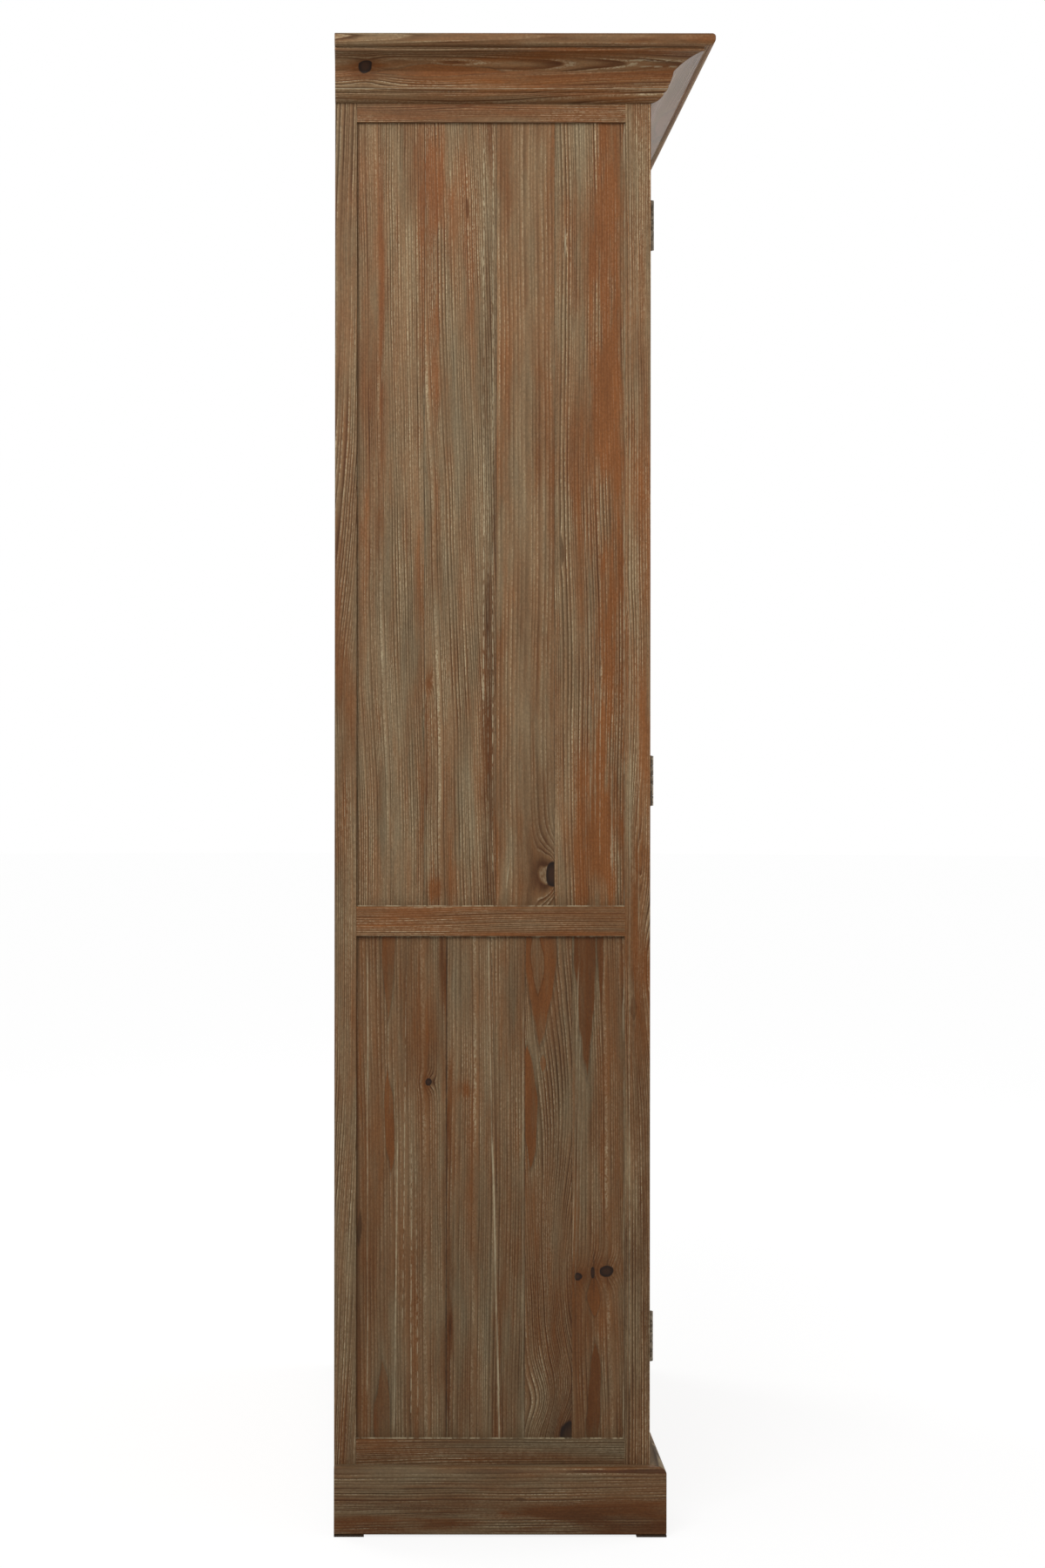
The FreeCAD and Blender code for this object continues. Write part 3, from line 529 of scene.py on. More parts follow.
def pine(
    name, axes, seed, boards=(), joints=(), figures=(), streaks=(), field=None, middle=0.0,
    wood=limed_wood, lime=1.0, shade=1.0, mitred=None, dust=0.0,
):
    """Pine as a solid texture. The axes name the directions along, across and through the board."""
    material, s = new_material(name)
    boards = boards or [board()]
    place = s.place()
    along, across, through = (s.part(place, "xyz".index(letter)) for letter in axes)
    if mitred:
        # Near the ends the grain turns to run along the other edge, as on a mitred lipping
        reach, front, run_width = mitred
        inward = s.minus(reach, s.math("ABSOLUTE", along))
        behind = s.minus(across, front)
        nearest = s.math("MINIMUM", behind, run_width)
        turned = s.math("LESS_THAN", inward, nearest)
        length = s.scaled_sum(turned, s.minus(across, along), along)
        across = s.scaled_sum(turned, s.minus(along, across), across)
        along = length
    steps = [s.math("GREATER_THAN", across, joint) for joint in joints]

    def pick(key):
        """The board's own value of a number at this point."""
        value = boards[0][key]
        for step, before, after in zip(steps, boards, boards[1:]):
            value = s.scaled_sum(step, after[key] - before[key], value)
        return value

    # Noise runs on a grain that is moved along for every board
    shifted = s.math("ADD", along, seed * 1.31)
    for step in steps:
        shifted = s.scaled_sum(step, 3.7, shifted)
    wobble, ripple, patch, dash, chip, fibre = s.use(grain_noise, shifted, across, through)
    sway = s.times(s.part(ripple, 1), sway_size)
    run = s.minus(along, middle)
    cut = [pick(key) for key in ("pith", "deep", "lean", "dive", "pitch")]
    pace = s.use(tree_rings, across, through, run, *cut, wobble, ripple)[0]
    state = [pace, pick("tone"), 0.0, pick("calm"), 0.0, 0.0]
    spot = s.vector(s.math("ADD", across, sway), along, s.part(patch, 0))
    for item in figures:
        index = item["board"]
        here = steps[index - 1] if index else 1.0
        if index is not None and index < len(steps):
            here = s.minus(here, steps[index])
        centre = (item["across"], item["along"], 0.0)
        span = (1 / item["width"], 1 / item["length"], 0.0)
        look = (item["rings"], item["tone"], item["dark"])
        state = s.use(item["kind"], spot, centre, span, here, *look, *state)
    value = s.times(pick("shade"), shade)
    colour, height, roughness = s.use(
        wood, shifted, through, *state, wobble, patch, dash, chip, fibre, value, lime
    )
    wear = s.part(patch, 2)
    lines = [(item, s.times(sway, 0.12)) for item in streaks]
    lines += [(streak(joint, -9.0, 9.0, light=-0.7, broken=0.5), 0.0) for joint in joints]
    for item, wave in lines:
        sizes = [item[key] for key in ("across", "low", "high", "lean", "width")]
        paint = lime_white if item["light"] > 0 else gap_dark_and_painted_shadow
        look = (abs(item["light"]), item["broken"], paint)
        colour, height = s.use(
            grain_line, across, along, run, wave, dash, wear, *sizes, *look, colour, height
        )
    if field:
        colour = s.use(panel_edges, across, along, *field, patch, dash, lime, colour)[0]
    sheen = dict(Sheen_Weight=dust, Sheen_Roughness=0.6)
    s.finish(colour, roughness, height, wood_relief, Specular_IOR_Level=0.15, **sheen)
    return material


def metal(name, base, worn, rough_low, rough_high, scale, metallic):
    """Metal with a mottled finish, paler where it is rubbed."""
    material, s = new_material(name)
    place = s.place()
    cloud = s.noise(place, (scale, scale, scale), 4.0, 0.6).outputs[0]
    speck = s.noise(place, (scale * 7, scale * 7, scale * 7), 2.0, 0.6).outputs[0]
    colour = s.mix(s.remap(cloud, 0.35, 0.7), base, worn)
    roughness = s.remap(speck, 0.3, 0.7, rough_low, rough_high)
    height = s.scaled_sum(speck, 0.5, cloud)
    s.finish(colour, roughness, height, metal_relief, Metallic=metallic)
    return material


def plastic(name, colour, roughness):
    """Moulded plastic with a fine grain."""
    material, s = new_material(name)
    place = s.place()
    grain = s.noise(place, (1500.0, 1500.0, 1500.0), 2.0).outputs[0]
    cloud = s.noise(place, (60.0, 60.0, 60.0), 2.0).outputs[0]
    mixed = s.darken(colour, s.remap(cloud, 0.3, 0.7, 0.88, 1.06))
    roughness = s.remap(grain, 0.2, 0.8, roughness - 0.06, roughness + 0.06)
    s.finish(mixed, roughness, grain, plastic_relief)
    return material


nodes = frame["nodes"]
edge_angle = math.radians(32)


def dress(name, material):
    """Gives a carried-over node its material."""
    nodes[name].material_slots[0].material = material


def add_object(name, data):
    made = bpy.data.objects.new(name, data)
    bpy.context.collection.objects.link(made)
    return made


def round_edges(piece, width):
    bevel = piece.modifiers.new("bevel", "BEVEL")
    bevel.width = width
    bevel.segments = 2
    bevel.limit_method = "ANGLE"
    bevel.angle_limit = edge_angle


def soften(name, width):
    """Rubs a node's edges round."""
    piece = nodes[name]
    weld = piece.modifiers.new("weld", "WELD")
    weld.merge_threshold = 0.01 * mm
    flat = piece.modifiers.new("flat", "DECIMATE")
    flat.decimate_type = "DISSOLVE"
    flat.angle_limit = math.radians(0.6)
    round_edges(piece, width)
    piece.modifiers.new("normals", "WEIGHTED_NORMAL")


# The left side, as the photograph shows it: across is the depth of the cabinet, along is the height

left_upper = pine(
    "left_upper_panel_wood",
    "zyx",
    seed=1,
    middle=1.53,
    joints=(-0.05, 0.038, 0.146),
    boards=[
        board(pith=0.12, deep=-0.46, lean=0.004, tone=0.47, pitch=1.2, shade=1.04),
        board(pith=-0.16, deep=-0.5, lean=-0.004, tone=0.49, pitch=1.9, calm=0.5, shade=1.02),
        board(pith=0.26, deep=-0.47, lean=0.03, tone=0.38, pitch=0.97),
        board(pith=0.34, deep=-0.49, lean=0.01, dive=0.01, tone=0.33, pitch=0.95),
    ],
    figures=[
        figure(-0.132, 1.35, 0.021, 0.9, tone=0.55, dark=0.03, board=0),
        figure(-0.1, 1.97, 0.04, 0.13, tone=0.16, board=0),
        figure(-0.09, 1.02, 0.03, 0.1, tone=0.2, board=0),
        figure(-0.146, 1.1, 0.012, 0.2, tone=0.1, dark=0.06, board=0),
        figure(-0.034, 1.3, 0.014, 0.45, tone=0.12, dark=0.12, board=1),
        figure(-0.008, 1.45, 0.008, 0.7, tone=-0.16, board=1),
        figure(0.026, 1.5, 0.009, 0.5, tone=0.1, board=1),
        figure(-0.02, 1.02, 0.05, 0.12, tone=0.18, dark=0.1, board=1),
        figure(0.049, 1.5, 0.009, 1.1, tone=0.18, dark=0.36, board=2),
        figure(0.132, 2.04, 0.032, 0.1, tone=0.42, dark=0.05),
        figure(0.124, 1.8, 0.012, 0.16, tone=0.22, dark=0.08, board=2),
        figure(0.131, 1.55, 0.012, 0.6, tone=0.1, board=2),
        figure(0.09, 1.01, 0.05, 0.1, tone=0.12, board=2),
        figure(0.15, 1.53, 0.009, 1.4, tone=0.22, board=3),
        figure(0.212, 1.84, 0.005, 0.14, tone=0.34, board=3),
        figure(0.211, 1.5, 0.003, 0.4, tone=0.25, dark=0.2, board=3),
        figure(0.234, 1.5, 0.009, 0.1, tone=0.36, board=3),
        figure(0.21, 1.04, 0.04, 0.11, tone=0.14, board=3),
        figure(0.19, 1.9, 0.03, 0.3, rings=2.0, board=3),
        figure(-0.03, 1.04, 0.022, 0.1, tone=-0.3, board=1),
        knot(-0.05, 0.99, 0.012, 0.02, rings=6.0, board=1),
        figure(0.142, 1.281, 0.008, 0.018, rings=1.5, tone=0.9, dark=0.36, board=2),
        flame(0.082, 1.994, 0.0024, 0.018, tone=0.2, dark=0.5),
        flame(-0.064, 1.938, 0.003, 0.014, rings=1.0, tone=0.1, dark=0.45),
        flame(-0.059, 1.479, 0.0034, 0.024, rings=1.0, tone=0.1, dark=0.4),
        figure(0.132, 0.968, 0.01, 0.016, tone=0.5, dark=0.1),
        figure(-0.088, 0.955, 0.018, 0.014, tone=0.5, dark=0.1),
    ],
    streaks=[
        streak(0.145, 0.95, 2.12, width=0.6, light=0.3),
        streak(0.057, 1.2, 2.11, width=0.9, light=0.85),
        streak(0.043, 0.98, 2.11, light=0.8),
        streak(0.05, 0.96, 1.8, width=0.6, light=0.4),
        streak(-0.0655, 1.91, 1.975, width=1.0, light=0.9, broken=0.3),
        streak(-0.102, 1.05, 1.6, lean=0.006, broken=0.6),
        streak(-0.096, 1.0, 1.56, lean=0.004, width=0.6, broken=0.6),
        streak(-0.109, 1.05, 1.5, lean=0.006, width=0.6, broken=0.6),
        streak(-0.119, 1.0, 1.6, width=0.6, light=0.5, broken=0.8),
        streak(-0.137, 0.98, 1.16, light=0.7, broken=0.3),
        streak(-0.034, 0.96, 1.02, lean=-0.1, light=0.7, broken=0.5),
    ],
    field=(-0.1565, 0.2485, 0.9415, 2.1235),
)
dress("left_upper_panel", left_upper)

left_lower = pine(
    "left_lower_panel_wood",
    "zyx",
    seed=2,
    middle=0.52,
    joints=(-0.077, -0.006, 0.112),
    boards=[
        board(pith=0.06, deep=-0.46, lean=0.01, tone=0.54, pitch=1.4, calm=0.25),
        board(pith=0.07, deep=-0.5, lean=0.05, dive=0.01, tone=0.6, pitch=1.35, shade=0.99),
        board(pith=0.26, deep=-0.47, lean=-0.006, tone=0.48, pitch=1.35, calm=0.3, shade=0.99),
        board(pith=0.36, deep=-0.49, lean=0.01, dive=0.01, tone=0.5, pitch=1.5, calm=0.42, shade=0.98),
    ],
    figures=[
        flame(0.201, 0.905, 0.011, 0.14, tone=0.34, dark=0.12, board=3),
        flame(0.199, 0.62, 0.008, 0.085, tone=0.38, dark=0.1, board=3),
        flame(0.207, 0.14, 0.012, 0.12, tone=0.36, dark=0.12, board=3),
        knot(0.141, 0.677, 0.0055, 0.006, rings=1.6, board=3),
        figure(0.215, 0.25, 0.03, 0.15, tone=-0.14, board=3),
        figure(0.15, 0.85, 0.014, 0.12, tone=0.14, board=3),
        flame(0.242, 0.455, 0.004, 0.03, dark=0.45, board=3),
        figure(0.117, 0.86, 0.005, 0.08, tone=0.4, dark=0.4),
        figure(0.108, 0.36, 0.006, 0.36, tone=0.5, dark=0.42),
        figure(0.083, 0.665, 0.011, 0.014, tone=0.5, dark=0.1, board=2),
        figure(0.026, 0.5, 0.014, 0.7, tone=0.12, board=2),
        figure(0.09, 0.75, 0.016, 0.3, tone=-0.08, board=2),
        flame(-0.029, 0.86, 0.026, 0.13, rings=2.0, tone=0.34, dark=0.08, board=1),
        flame(-0.024, 0.86, 0.008, 0.055, tone=-0.4, board=1),
        flame(-0.035, 0.705, 0.004, 0.014, tone=0.4, board=1),
        flame(-0.012, 0.64, 0.014, 0.1, tone=0.5, dark=0.12, board=1),
        figure(-0.05, 0.62, 0.02, 0.12, tone=-0.1, dark=0.16, board=1),
        figure(-0.084, 0.38, 0.044, 0.16, rings=11.0, board=1),
        figure(-0.04, 0.19, 0.034, 0.05, rings=-5.0, tone=-0.1, board=1),
        figure(-0.04, 0.16, 0.03, 0.08, tone=-0.24, board=1),
        knot(-0.0774, 0.142, 0.021, 0.027, rings=13.0, board=1),
        flame(-0.098, 0.91, 0.017, 0.23, tone=0.6, dark=0.36, board=0),
        flame(-0.121, 0.91, 0.007, 0.135, tone=0.5, dark=0.34, board=0),
        figure(-0.09, 0.56, 0.012, 0.12, tone=-0.22, board=0),
        knot(-0.087, 0.384, 0.0062, 0.0066, rings=1.8, board=0),
        knot(-0.1105, 0.39, 0.0038, 0.0095, rings=1.2, board=0),
        knot(-0.131, 0.392, 0.0088, 0.0092, rings=2.2, board=0),
        flame(-0.112, 0.355, 0.012, 0.035, tone=0.26, board=0),
        flame(-0.11, 0.19, 0.01, 0.1, tone=0.38, dark=0.3, board=0),
        # Painted shade: the lower part of the panel darker towards the floor
        figure(0.05, 0.12, 0.4, 0.28, dark=0.13),
    ],
    streaks=[
        streak(0.041, 0.12, 0.6, lean=0.024, width=1.5, light=0.85, broken=0.3),
        streak(0.042, 0.55, 0.9, lean=0.02, width=0.9, broken=0.5),
        streak(0.036, 0.1, 0.88, lean=0.024, width=1.0, light=-0.5, broken=0.3),
        streak(0.231, 0.2, 0.88, width=1.0, broken=0.4),
        streak(0.187, 0.14, 0.6, lean=-0.01, width=1.2, broken=0.5),
        streak(0.176, 0.3, 0.86, lean=-0.01),
        streak(0.165, 0.15, 0.6),
        streak(0.158, 0.15, 0.58, lean=0.01, light=0.5),
        streak(-0.003, 0.1, 0.8, broken=0.4),
        streak(-0.08, 0.4, 0.86, lean=-0.02, width=0.7, light=0.45, broken=0.5),
        streak(-0.085, 0.35, 0.76, lean=-0.02, width=0.7, light=0.45, broken=0.5),
        streak(-0.09, 0.4, 0.7, lean=-0.02, width=0.6, light=0.4, broken=0.5),
        streak(0.112, 0.1, 0.9, width=1.2, light=-0.6, broken=0.4),
        streak(-0.1105, 0.34, 0.44, width=1.0, light=-0.8, broken=0.2),
        streak(-0.131, 0.36, 0.43, width=1.0, light=-0.8, broken=0.2),
    ],
    field=(-0.1565, 0.2485, 0.14, 0.8975),
    # The whole lower panel darker: partly painted shade, as less light reaches it, partly its own darker
    # tone
    shade=0.84,
)
dress("left_lower_panel", left_lower)

# What the photograph shows on the rest of the left side, by node: figures, then streaks

seen_figures = {
    "left_front_post": [
        figure(-0.185, 0.85, 0.02, 0.12, rings=7.0, tone=0.25, dark=0.1),
        figure(-0.172, 1.02, 0.008, 0.1, rings=3.0, tone=0.2, dark=0.16),
        figure(-0.19, 1.3, 0.012, 0.8, tone=0.08),
        # Painted shade: the post darker towards the floor
        figure(-0.18, 0.3, 0.2, 0.5, dark=0.32),
        flame(-0.169, 0.79, 0.006, 0.02, tone=0.1, dark=0.2),
    ],
    "left_back_post": [
        figure(0.27, 1.2, 0.01, 0.9, tone=0.1),
        # Painted shade: the post darker towards the floor, with a greyer tone of its own
        figure(0.265, 0.2, 0.2, 0.4, tone=-0.1, dark=0.1),
    ],
    "left_top_rail": [
        figure(2.148, 0.086, 0.006, 0.05, rings=1.5),
        flame(2.148, 0.086, 0.003, 0.016, tone=0.3, dark=0.25),
    ],
    "cornice_left": [
        figure(2.196, 0.236, 0.014, 0.024, tone=0.3, dark=0.1),
        knot(2.196, 0.236, 0.0075, 0.0105, rings=1.2),
        figure(2.177, 0.23, 0.007, 0.045, rings=1.0, tone=-0.1),
        flame(2.188, 0.125, 0.009, 0.1, rings=1.5, tone=0.16),
        figure(2.186, -0.135, 0.003, 0.13, tone=0.5, dark=0.28),
    ],
    "plinth_left": [
        # Partly painted shade: the plinth darker along its lower edge, with a redder tone and swollen rings
        # of its own
        figure(0.02, 0.04, 0.03, 0.5, rings=3.0, tone=0.4, dark=0.38),
        figure(0.032, 0.028, 0.006, 0.01, tone=0.5),
        flame(0.058, 0.002, 0.003, 0.012, dark=0.4),
    ],
}
seen_streaks = {
    "left_front_post": [
        streak(-0.163, 0.2, 2.15, broken=0.5),
        streak(-0.176, 0.9, 2.15, lean=0.003, width=0.6, light=0.5, broken=0.5),
    ],
    "cornice_left": [
        streak(2.217, -0.3, 0.4, width=0.6, light=0.5, broken=0.5),
        streak(2.1665, -0.3, 0.4, width=0.7, broken=0.5),
        streak(2.203, -0.24, -0.14, width=1.2, light=0.8),
        streak(2.196, -0.24, -0.16, width=1.0, light=0.7),
    ],
}

# Every other wooden node: the grain's axes, a seed, the tone, the shade and, over 1, the glued boards. A
# shade below 1 on the lower nodes is painted shade, darker towards the floor

limed_nodes = {
    "left_front_post": ("zyx", 11, 0.47, 1.1),
    "left_back_post": ("zyx", 12, 0.47, 0.9),
    "left_top_rail": ("yzx", 13, 0.7, 0.97),
    "left_mid_rail": ("yzx", 14, 0.84, 1.02),
    "left_bottom_rail": ("yzx", 15, 0.4, 0.68),
    "right_front_post": ("zyx", 16, 0.48, 1.0),
    "right_back_post": ("zyx", 17, 0.46, 1.0),
    "right_top_rail": ("yzx", 18, 0.5, 0.98),
    "right_mid_rail": ("yzx", 19, 0.6, 0.95),
    "right_bottom_rail": ("yzx", 20, 0.44, 0.9),
    "right_upper_panel": ("zyx", 21, 0.44, 1.0, 4),
    "right_lower_panel": ("zyx", 22, 0.46, 0.92, 4),
    "front_top_rail": ("xzy", 23, 0.5, 0.98),
    "front_bottom_rail": ("xzy", 24, 0.44, 0.92),
    "top_board": ("xyz", 25, 0.52, 0.94),
    "cornice_front": ("xzy", 26, 0.52, 1.04),
    "cornice_left": ("yzx", 27, 0.72, 0.97),
    "cornice_right": ("yzx", 28, 0.5, 0.94),
    "plinth_front": ("xzy", 29, 0.44, 0.84),
    "plinth_left": ("yzx", 30, 0.41, 0.79),
    "plinth_right": ("yzx", 31, 0.42, 0.84),
}
door_parts = {
    "hinge_stile": ("zxy", 40, 0.46, 1.0),
    "meeting_stile": ("zxy", 41, 0.52, 1.0),
    "top_rail": ("xzy", 42, 0.5, 0.98),
    "mid_rail": ("xzy", 43, 0.58, 0.96),
    "bottom_rail": ("xzy", 44, 0.48, 0.94),
    "upper_panel": ("zxy", 45, 0.44, 1.0, 4),
    "lower_panel": ("zxy", 46, 0.48, 0.95, 4),
}
for hand, shift in (("left", 0), ("right", 10)):
    for part, (axes, seed, *plan) in door_parts.items():
        limed_nodes[f"{hand}_door_{part}"] = (axes, seed + shift, *plan)
bare_nodes = {
    "back_boards": ("zxy", 70, 0.4, 1.0, 9),
    "back_rails": ("xzy", 71, 0.45, 1.0),
    "ceiling_board": ("xyz", 72, 0.4, 1.0, 3),
    "cornice_blocks": ("xzy", 73, 0.4, 1.0),
    "floor_board": ("xyz", 74, 0.45, 0.98, 3),
    "floor_cleats": ("yzx", 75, 0.4, 1.0),
    "middle_shelf": ("xyz", 76, 0.45, 1.0, 3),
    "loose_shelves": ("xyz", 77, 0.42, 1.0, 3),
    "shelf_cleats": ("yzx", 78, 0.45, 1.0),
    "shelf_standards": ("zyx", 79, 0.4, 1.0),
}
axis_number = dict(x=0, y=1, z=2)
area_per_knot = 0.12
narrow_board = 100 * mm
regular_boards = 9
lipping_width = 87 * mm


def plain_pine(name, axes, seed, tone, shade, count=1, wood=limed_wood, **settings):
    """Pine for one node, cut by chance, with a few knots in it."""
    low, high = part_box(name)
    middle = [(first + second) / 2 for first, second in zip(low, high)]
    along, across, through = (axis_number[letter] for letter in axes)
    dice = random.Random(seed)
    chance = dice.uniform
    width = (high[across] - low[across]) / count
    stray = 0.0 if count == regular_boards else 0.15
    fineness = 0.66 if width < narrow_board and wood is limed_wood else 1.0
    joints = [low[across] + width * (index + chance(-stray, stray)) for index in range(1, count)]
    boards = []
    for index in range(count):
        start = low[across] + width * index
        plan = dict(
            pith=start + width / 2 + dice.choice((-1, 1)) * chance(0.03, 0.12),
            deep=middle[through] + dice.choice((-1, 1)) * chance(0.03, 0.09),
            lean=chance(-0.02, 0.02),
            dive=chance(-0.02, 0.02),
            tone=tone + chance(-0.08, 0.10),
            shade=chance(0.95, 1.04),
            pitch=chance(0.85, 1.3) * fineness,
        )
        boards.append(board(**plan))
    figures = list(seen_figures.get(name, ()))
    streaks = list(seen_streaks.get(name, ()))
    area = (high[along] - low[along]) * (high[across] - low[across])
    knots = 0 if figures else round(area / area_per_knot)
    for _ in range(knots):
        size = chance(3.5, 8.5) * mm
        aside = chance(low[across] + 0.1 * width, high[across] - 0.1 * width)
        onward = chance(low[along] + 0.06, high[along] - 0.06)
        figures.append(knot(aside, onward, size, size * 1.1, rings=size / mm * 0.55))
        aside = chance(low[across], high[across])
        onward = chance(low[along], high[along])
        half_sizes = (chance(6, 14) * mm, chance(80, 200) * mm)
        look = dict(rings=chance(1.0, 4.0), tone=chance(0.2, 0.4))
        figures.append(flame(aside, onward, *half_sizes, **look))
    plan = dict(boards=boards, joints=joints, figures=figures, streaks=streaks)
    return pine(f"{name}_wood", axes, seed, **plan, middle=middle[along], shade=shade, wood=wood, **settings)


top_low, top_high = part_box("top_board")
for name, plan in limed_nodes.items():
    extra = {}
    if name == "top_board":
        extra["mitred"] = (top_high.x, top_low.y, lipping_width)
    if name == "cornice_front":
        extra["dust"] = 0.6
    dress(name, plain_pine(name, *plan, **extra))
for name, plan in bare_nodes.items():
    dress(name, plain_pine(name, *plan, wood=bare_wood, lime=0.0))
dress("foot_pads", pine("foot_pads_wood", "yxz", 80, wood=dark_wood, lime=0.0))
for name in [*limed_nodes, "left_upper_panel", "left_lower_panel"]:
    soften(name, limed_wear)
for name in bare_nodes:
    soften(name, bare_wear)

# Metal and plastic

aged_steel = metal("aged_steel_finish", srgb(72, 63, 53), srgb(130, 119, 103), 0.4, 0.6, 160.0, 0.85)
zinc = metal("zinc_finish", srgb(150, 152, 152), srgb(190, 192, 192), 0.28, 0.42, 120.0, 1.0)
brown_plastic = plastic("brown_plastic_finish", srgb(72, 50, 36), 0.45)
metals = {"aged_steel": aged_steel, "zinc_plate": zinc}
dress("magnetic_catches", brown_plastic)
soften("magnetic_catches", bare_wear)
for hand in ("left", "right"):
    dress(f"{hand}_door_strike_plate", zinc)
    soften(f"{hand}_door_strike_plate", plate_wear)

up = Vector((0, 0, 1))
inwards = Vector((0, 1, 0))
outwards = Vector((0, -1, 0))


class Solid:
    """Gathers simple solids into one mesh."""

    def __init__(self):
        self.sketch = bmesh.new()

    def prism(self, outline, offset):
        """A solid between an outline and its copy."""
        low = [self.sketch.verts.new(point) for point in outline]
        high = [self.sketch.verts.new(point + offset) for point in outline]
        self.sketch.faces.new(low[::-1])
        self.sketch.faces.new(high)
        self.band(low, high)

    def band(self, low, high):
        for index in range(len(low)):
            after = (index + 1) % len(low)
            self.sketch.faces.new((low[index], low[after], high[after], high[index]))

    def turned(self, foot, axis, profile, sides=32):
        """A solid of revolution, from distances along the axis and radii."""
        side = axis.orthogonal().normalized()
        rings = []
        for distance, radius in profile:
            ring = []
            for index in range(sides):
                turn = Matrix.Rotation(math.tau * index / sides, 3, axis)
                ring.append(self.sketch.verts.new(foot + axis * distance + turn @ side * radius))
            rings.append(ring)
        for low, high in zip(rings, rings[1:]):
            self.band(low, high)
        self.sketch.faces.new(rings[0][::-1])
        self.sketch.faces.new(rings[-1])

    def slotted_head(self, centre, axis, radius, rise, slot_angle, sides=12):
        """The two halves of a slotted screw head, standing on a face. The axis runs out of it."""
        across = Matrix.Rotation(slot_angle, 3, axis) @ axis.orthogonal().normalized()
        beside = axis.cross(across)
        half_slot = radius * 0.13
        for sign in (1, -1):
            outline = []
            for index in range(sides + 1):
                angle = math.pi * index / sides
                reach = across * math.cos(angle) * radius
                rim = beside * sign * (half_slot + math.sin(angle) * (radius - half_slot))
                outline.append(centre + reach * 0.99 + rim)
            self.prism(outline, axis * rise)

    def finish(self, name, body, replaced=(), bevel=0.15 * mm, slot="aged_steel"):
        """Turns the mesh into a piece of the cabinet."""
        bmesh.ops.recalc_face_normals(self.sketch, faces=self.sketch.faces[:])
        mesh = bpy.data.meshes.new(name)
        self.sketch.to_mesh(mesh)
        self.sketch.free()
        mesh.shade_smooth()
        mesh.set_sharp_from_angle(angle=edge_angle)
        mesh.materials.append(metals[slot])
        piece = add_object(name, mesh)
        round_edges(piece, bevel)
        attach(piece, body)
        if replaced:
            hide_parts(*replaced)


# Butt hinges with round knuckles and slotted screws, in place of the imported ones

hinge_height = 76 * mm
half_gap = 1.25 * mm
leaf_width = 19 * mm
leaf_thickness = 1.8 * mm
knuckle_count = 5
knuckle_radius = 4.5 * mm
knuckle_gap = 0.4 * mm
knuckle_rim = 0.45 * mm
door_face = 4.8 * mm
pin_radius = 2.4 * mm
pin_dome = 0.4 * mm
screw_pitch = 26 * mm
screw_inset = 10.5 * mm
screw_length = 17 * mm
screw_head = 3.6 * mm
screw_shank = 1.7 * mm
screw_tip = 0.3 * mm
head_rise = 0.25 * mm
screw_edge = 0.05 * mm
film = 0.03 * mm
dice = random.Random(5)


def add_leaf(solid, axis, centre, direction, first_knuckle):
    """One leaf of a hinge with its knuckles. The direction runs from the axis into the wood."""
    face = axis.x + direction * half_gap
    front = axis.y + door_face
    foot = centre - hinge_height / 2
    corners = [(front + leaf_width, foot + hinge_height), (front + leaf_width, foot), (front, foot)]
    pitch = hinge_height / knuckle_count
    for number in range(first_knuckle, knuckle_count, 2):
        low = foot + pitch * number + knuckle_gap / 2
        length = pitch - knuckle_gap
        corners += [(front, low), (axis.y, low), (axis.y, low + length), (front, low + length)]
        profile = [
            (0, knuckle_radius - knuckle_rim),
            (knuckle_rim, knuckle_radius),
            (length - knuckle_rim, knuckle_radius),
            (length, knuckle_radius - knuckle_rim),
        ]
        solid.turned(Vector((axis.x, axis.y, low)), up, profile)
    corners.append((front, foot + hinge_height))
    outline = [Vector((face, *corner)) for corner in corners]
    solid.prism(outline, Vector((direction * leaf_thickness, 0, 0)))


def add_leaf_screws(solid, axis, centre, direction):
    """The three screws of a leaf. The direction runs into the wood."""
    into = Vector((direction, 0, 0))
    for number in (-1, 0, 1):
        foot = Vector((axis.x, axis.y + door_face + screw_inset, centre + screw_pitch * number))
        foot += into * half_gap
        profile = [
            (-film, screw_head),
            (leaf_thickness, screw_shank),
            (screw_length * 0.8, screw_shank),
            (screw_length, screw_tip),
        ]
        solid.turned(foot, into, profile, sides=24)
        solid.slotted_head(foot, -into, screw_head, head_rise, dice.uniform(0, math.pi))


pins_low, pins_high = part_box("hinge_pins")
lowest_hinge = pins_low.z + hinge_height / 2
highest_hinge = pins_high.z - hinge_height / 2
hinge_centres = (lowest_hinge, (lowest_hinge + highest_hinge) / 2, highest_hinge)
frame_leaves = Solid()
frame_screws = Solid()
pins = Solid()
for joint in frame["joints"]:
    axis = Vector(joint["pos_m"])
    body = joint["child"]
    outside = math.copysign(1, axis.x)
    door_leaves = Solid()
    door_screws = Solid()
    for centre in hinge_centres:
        add_leaf(frame_leaves, axis, centre, outside, 0)
        add_leaf_screws(frame_screws, axis, centre, outside)
        add_leaf(door_leaves, axis, centre, -outside, 1)
        add_leaf_screws(door_screws, axis, centre, -outside)
        pin_profile = [
            (-pin_dome, pin_radius * 0.6),
            (0, pin_radius),
            (hinge_height, pin_radius),
            (hinge_height + pin_dome, pin_radius * 0.6),
        ]
        pins.turned(Vector((axis.x, axis.y, centre - hinge_height / 2)), up, pin_profile, sides=24)
    door_leaves.finish(f"{body}_leaves", body, [f"{body}_hinge_leaves"])
    door_screws.finish(f"{body}_leaf_screws", body, [f"{body}_hinge_screws"], screw_edge)
frame_leaves.finish("frame_leaves", "carcass", ["frame_hinge_leaves"])
frame_screws.finish("frame_leaf_screws", "carcass", ["frame_hinge_screws"], screw_edge)
pins.finish("pins", "carcass", ["hinge_pins"])

# Turned knobs with a pan-headed bolt behind the door: distances from the door's face, then radii

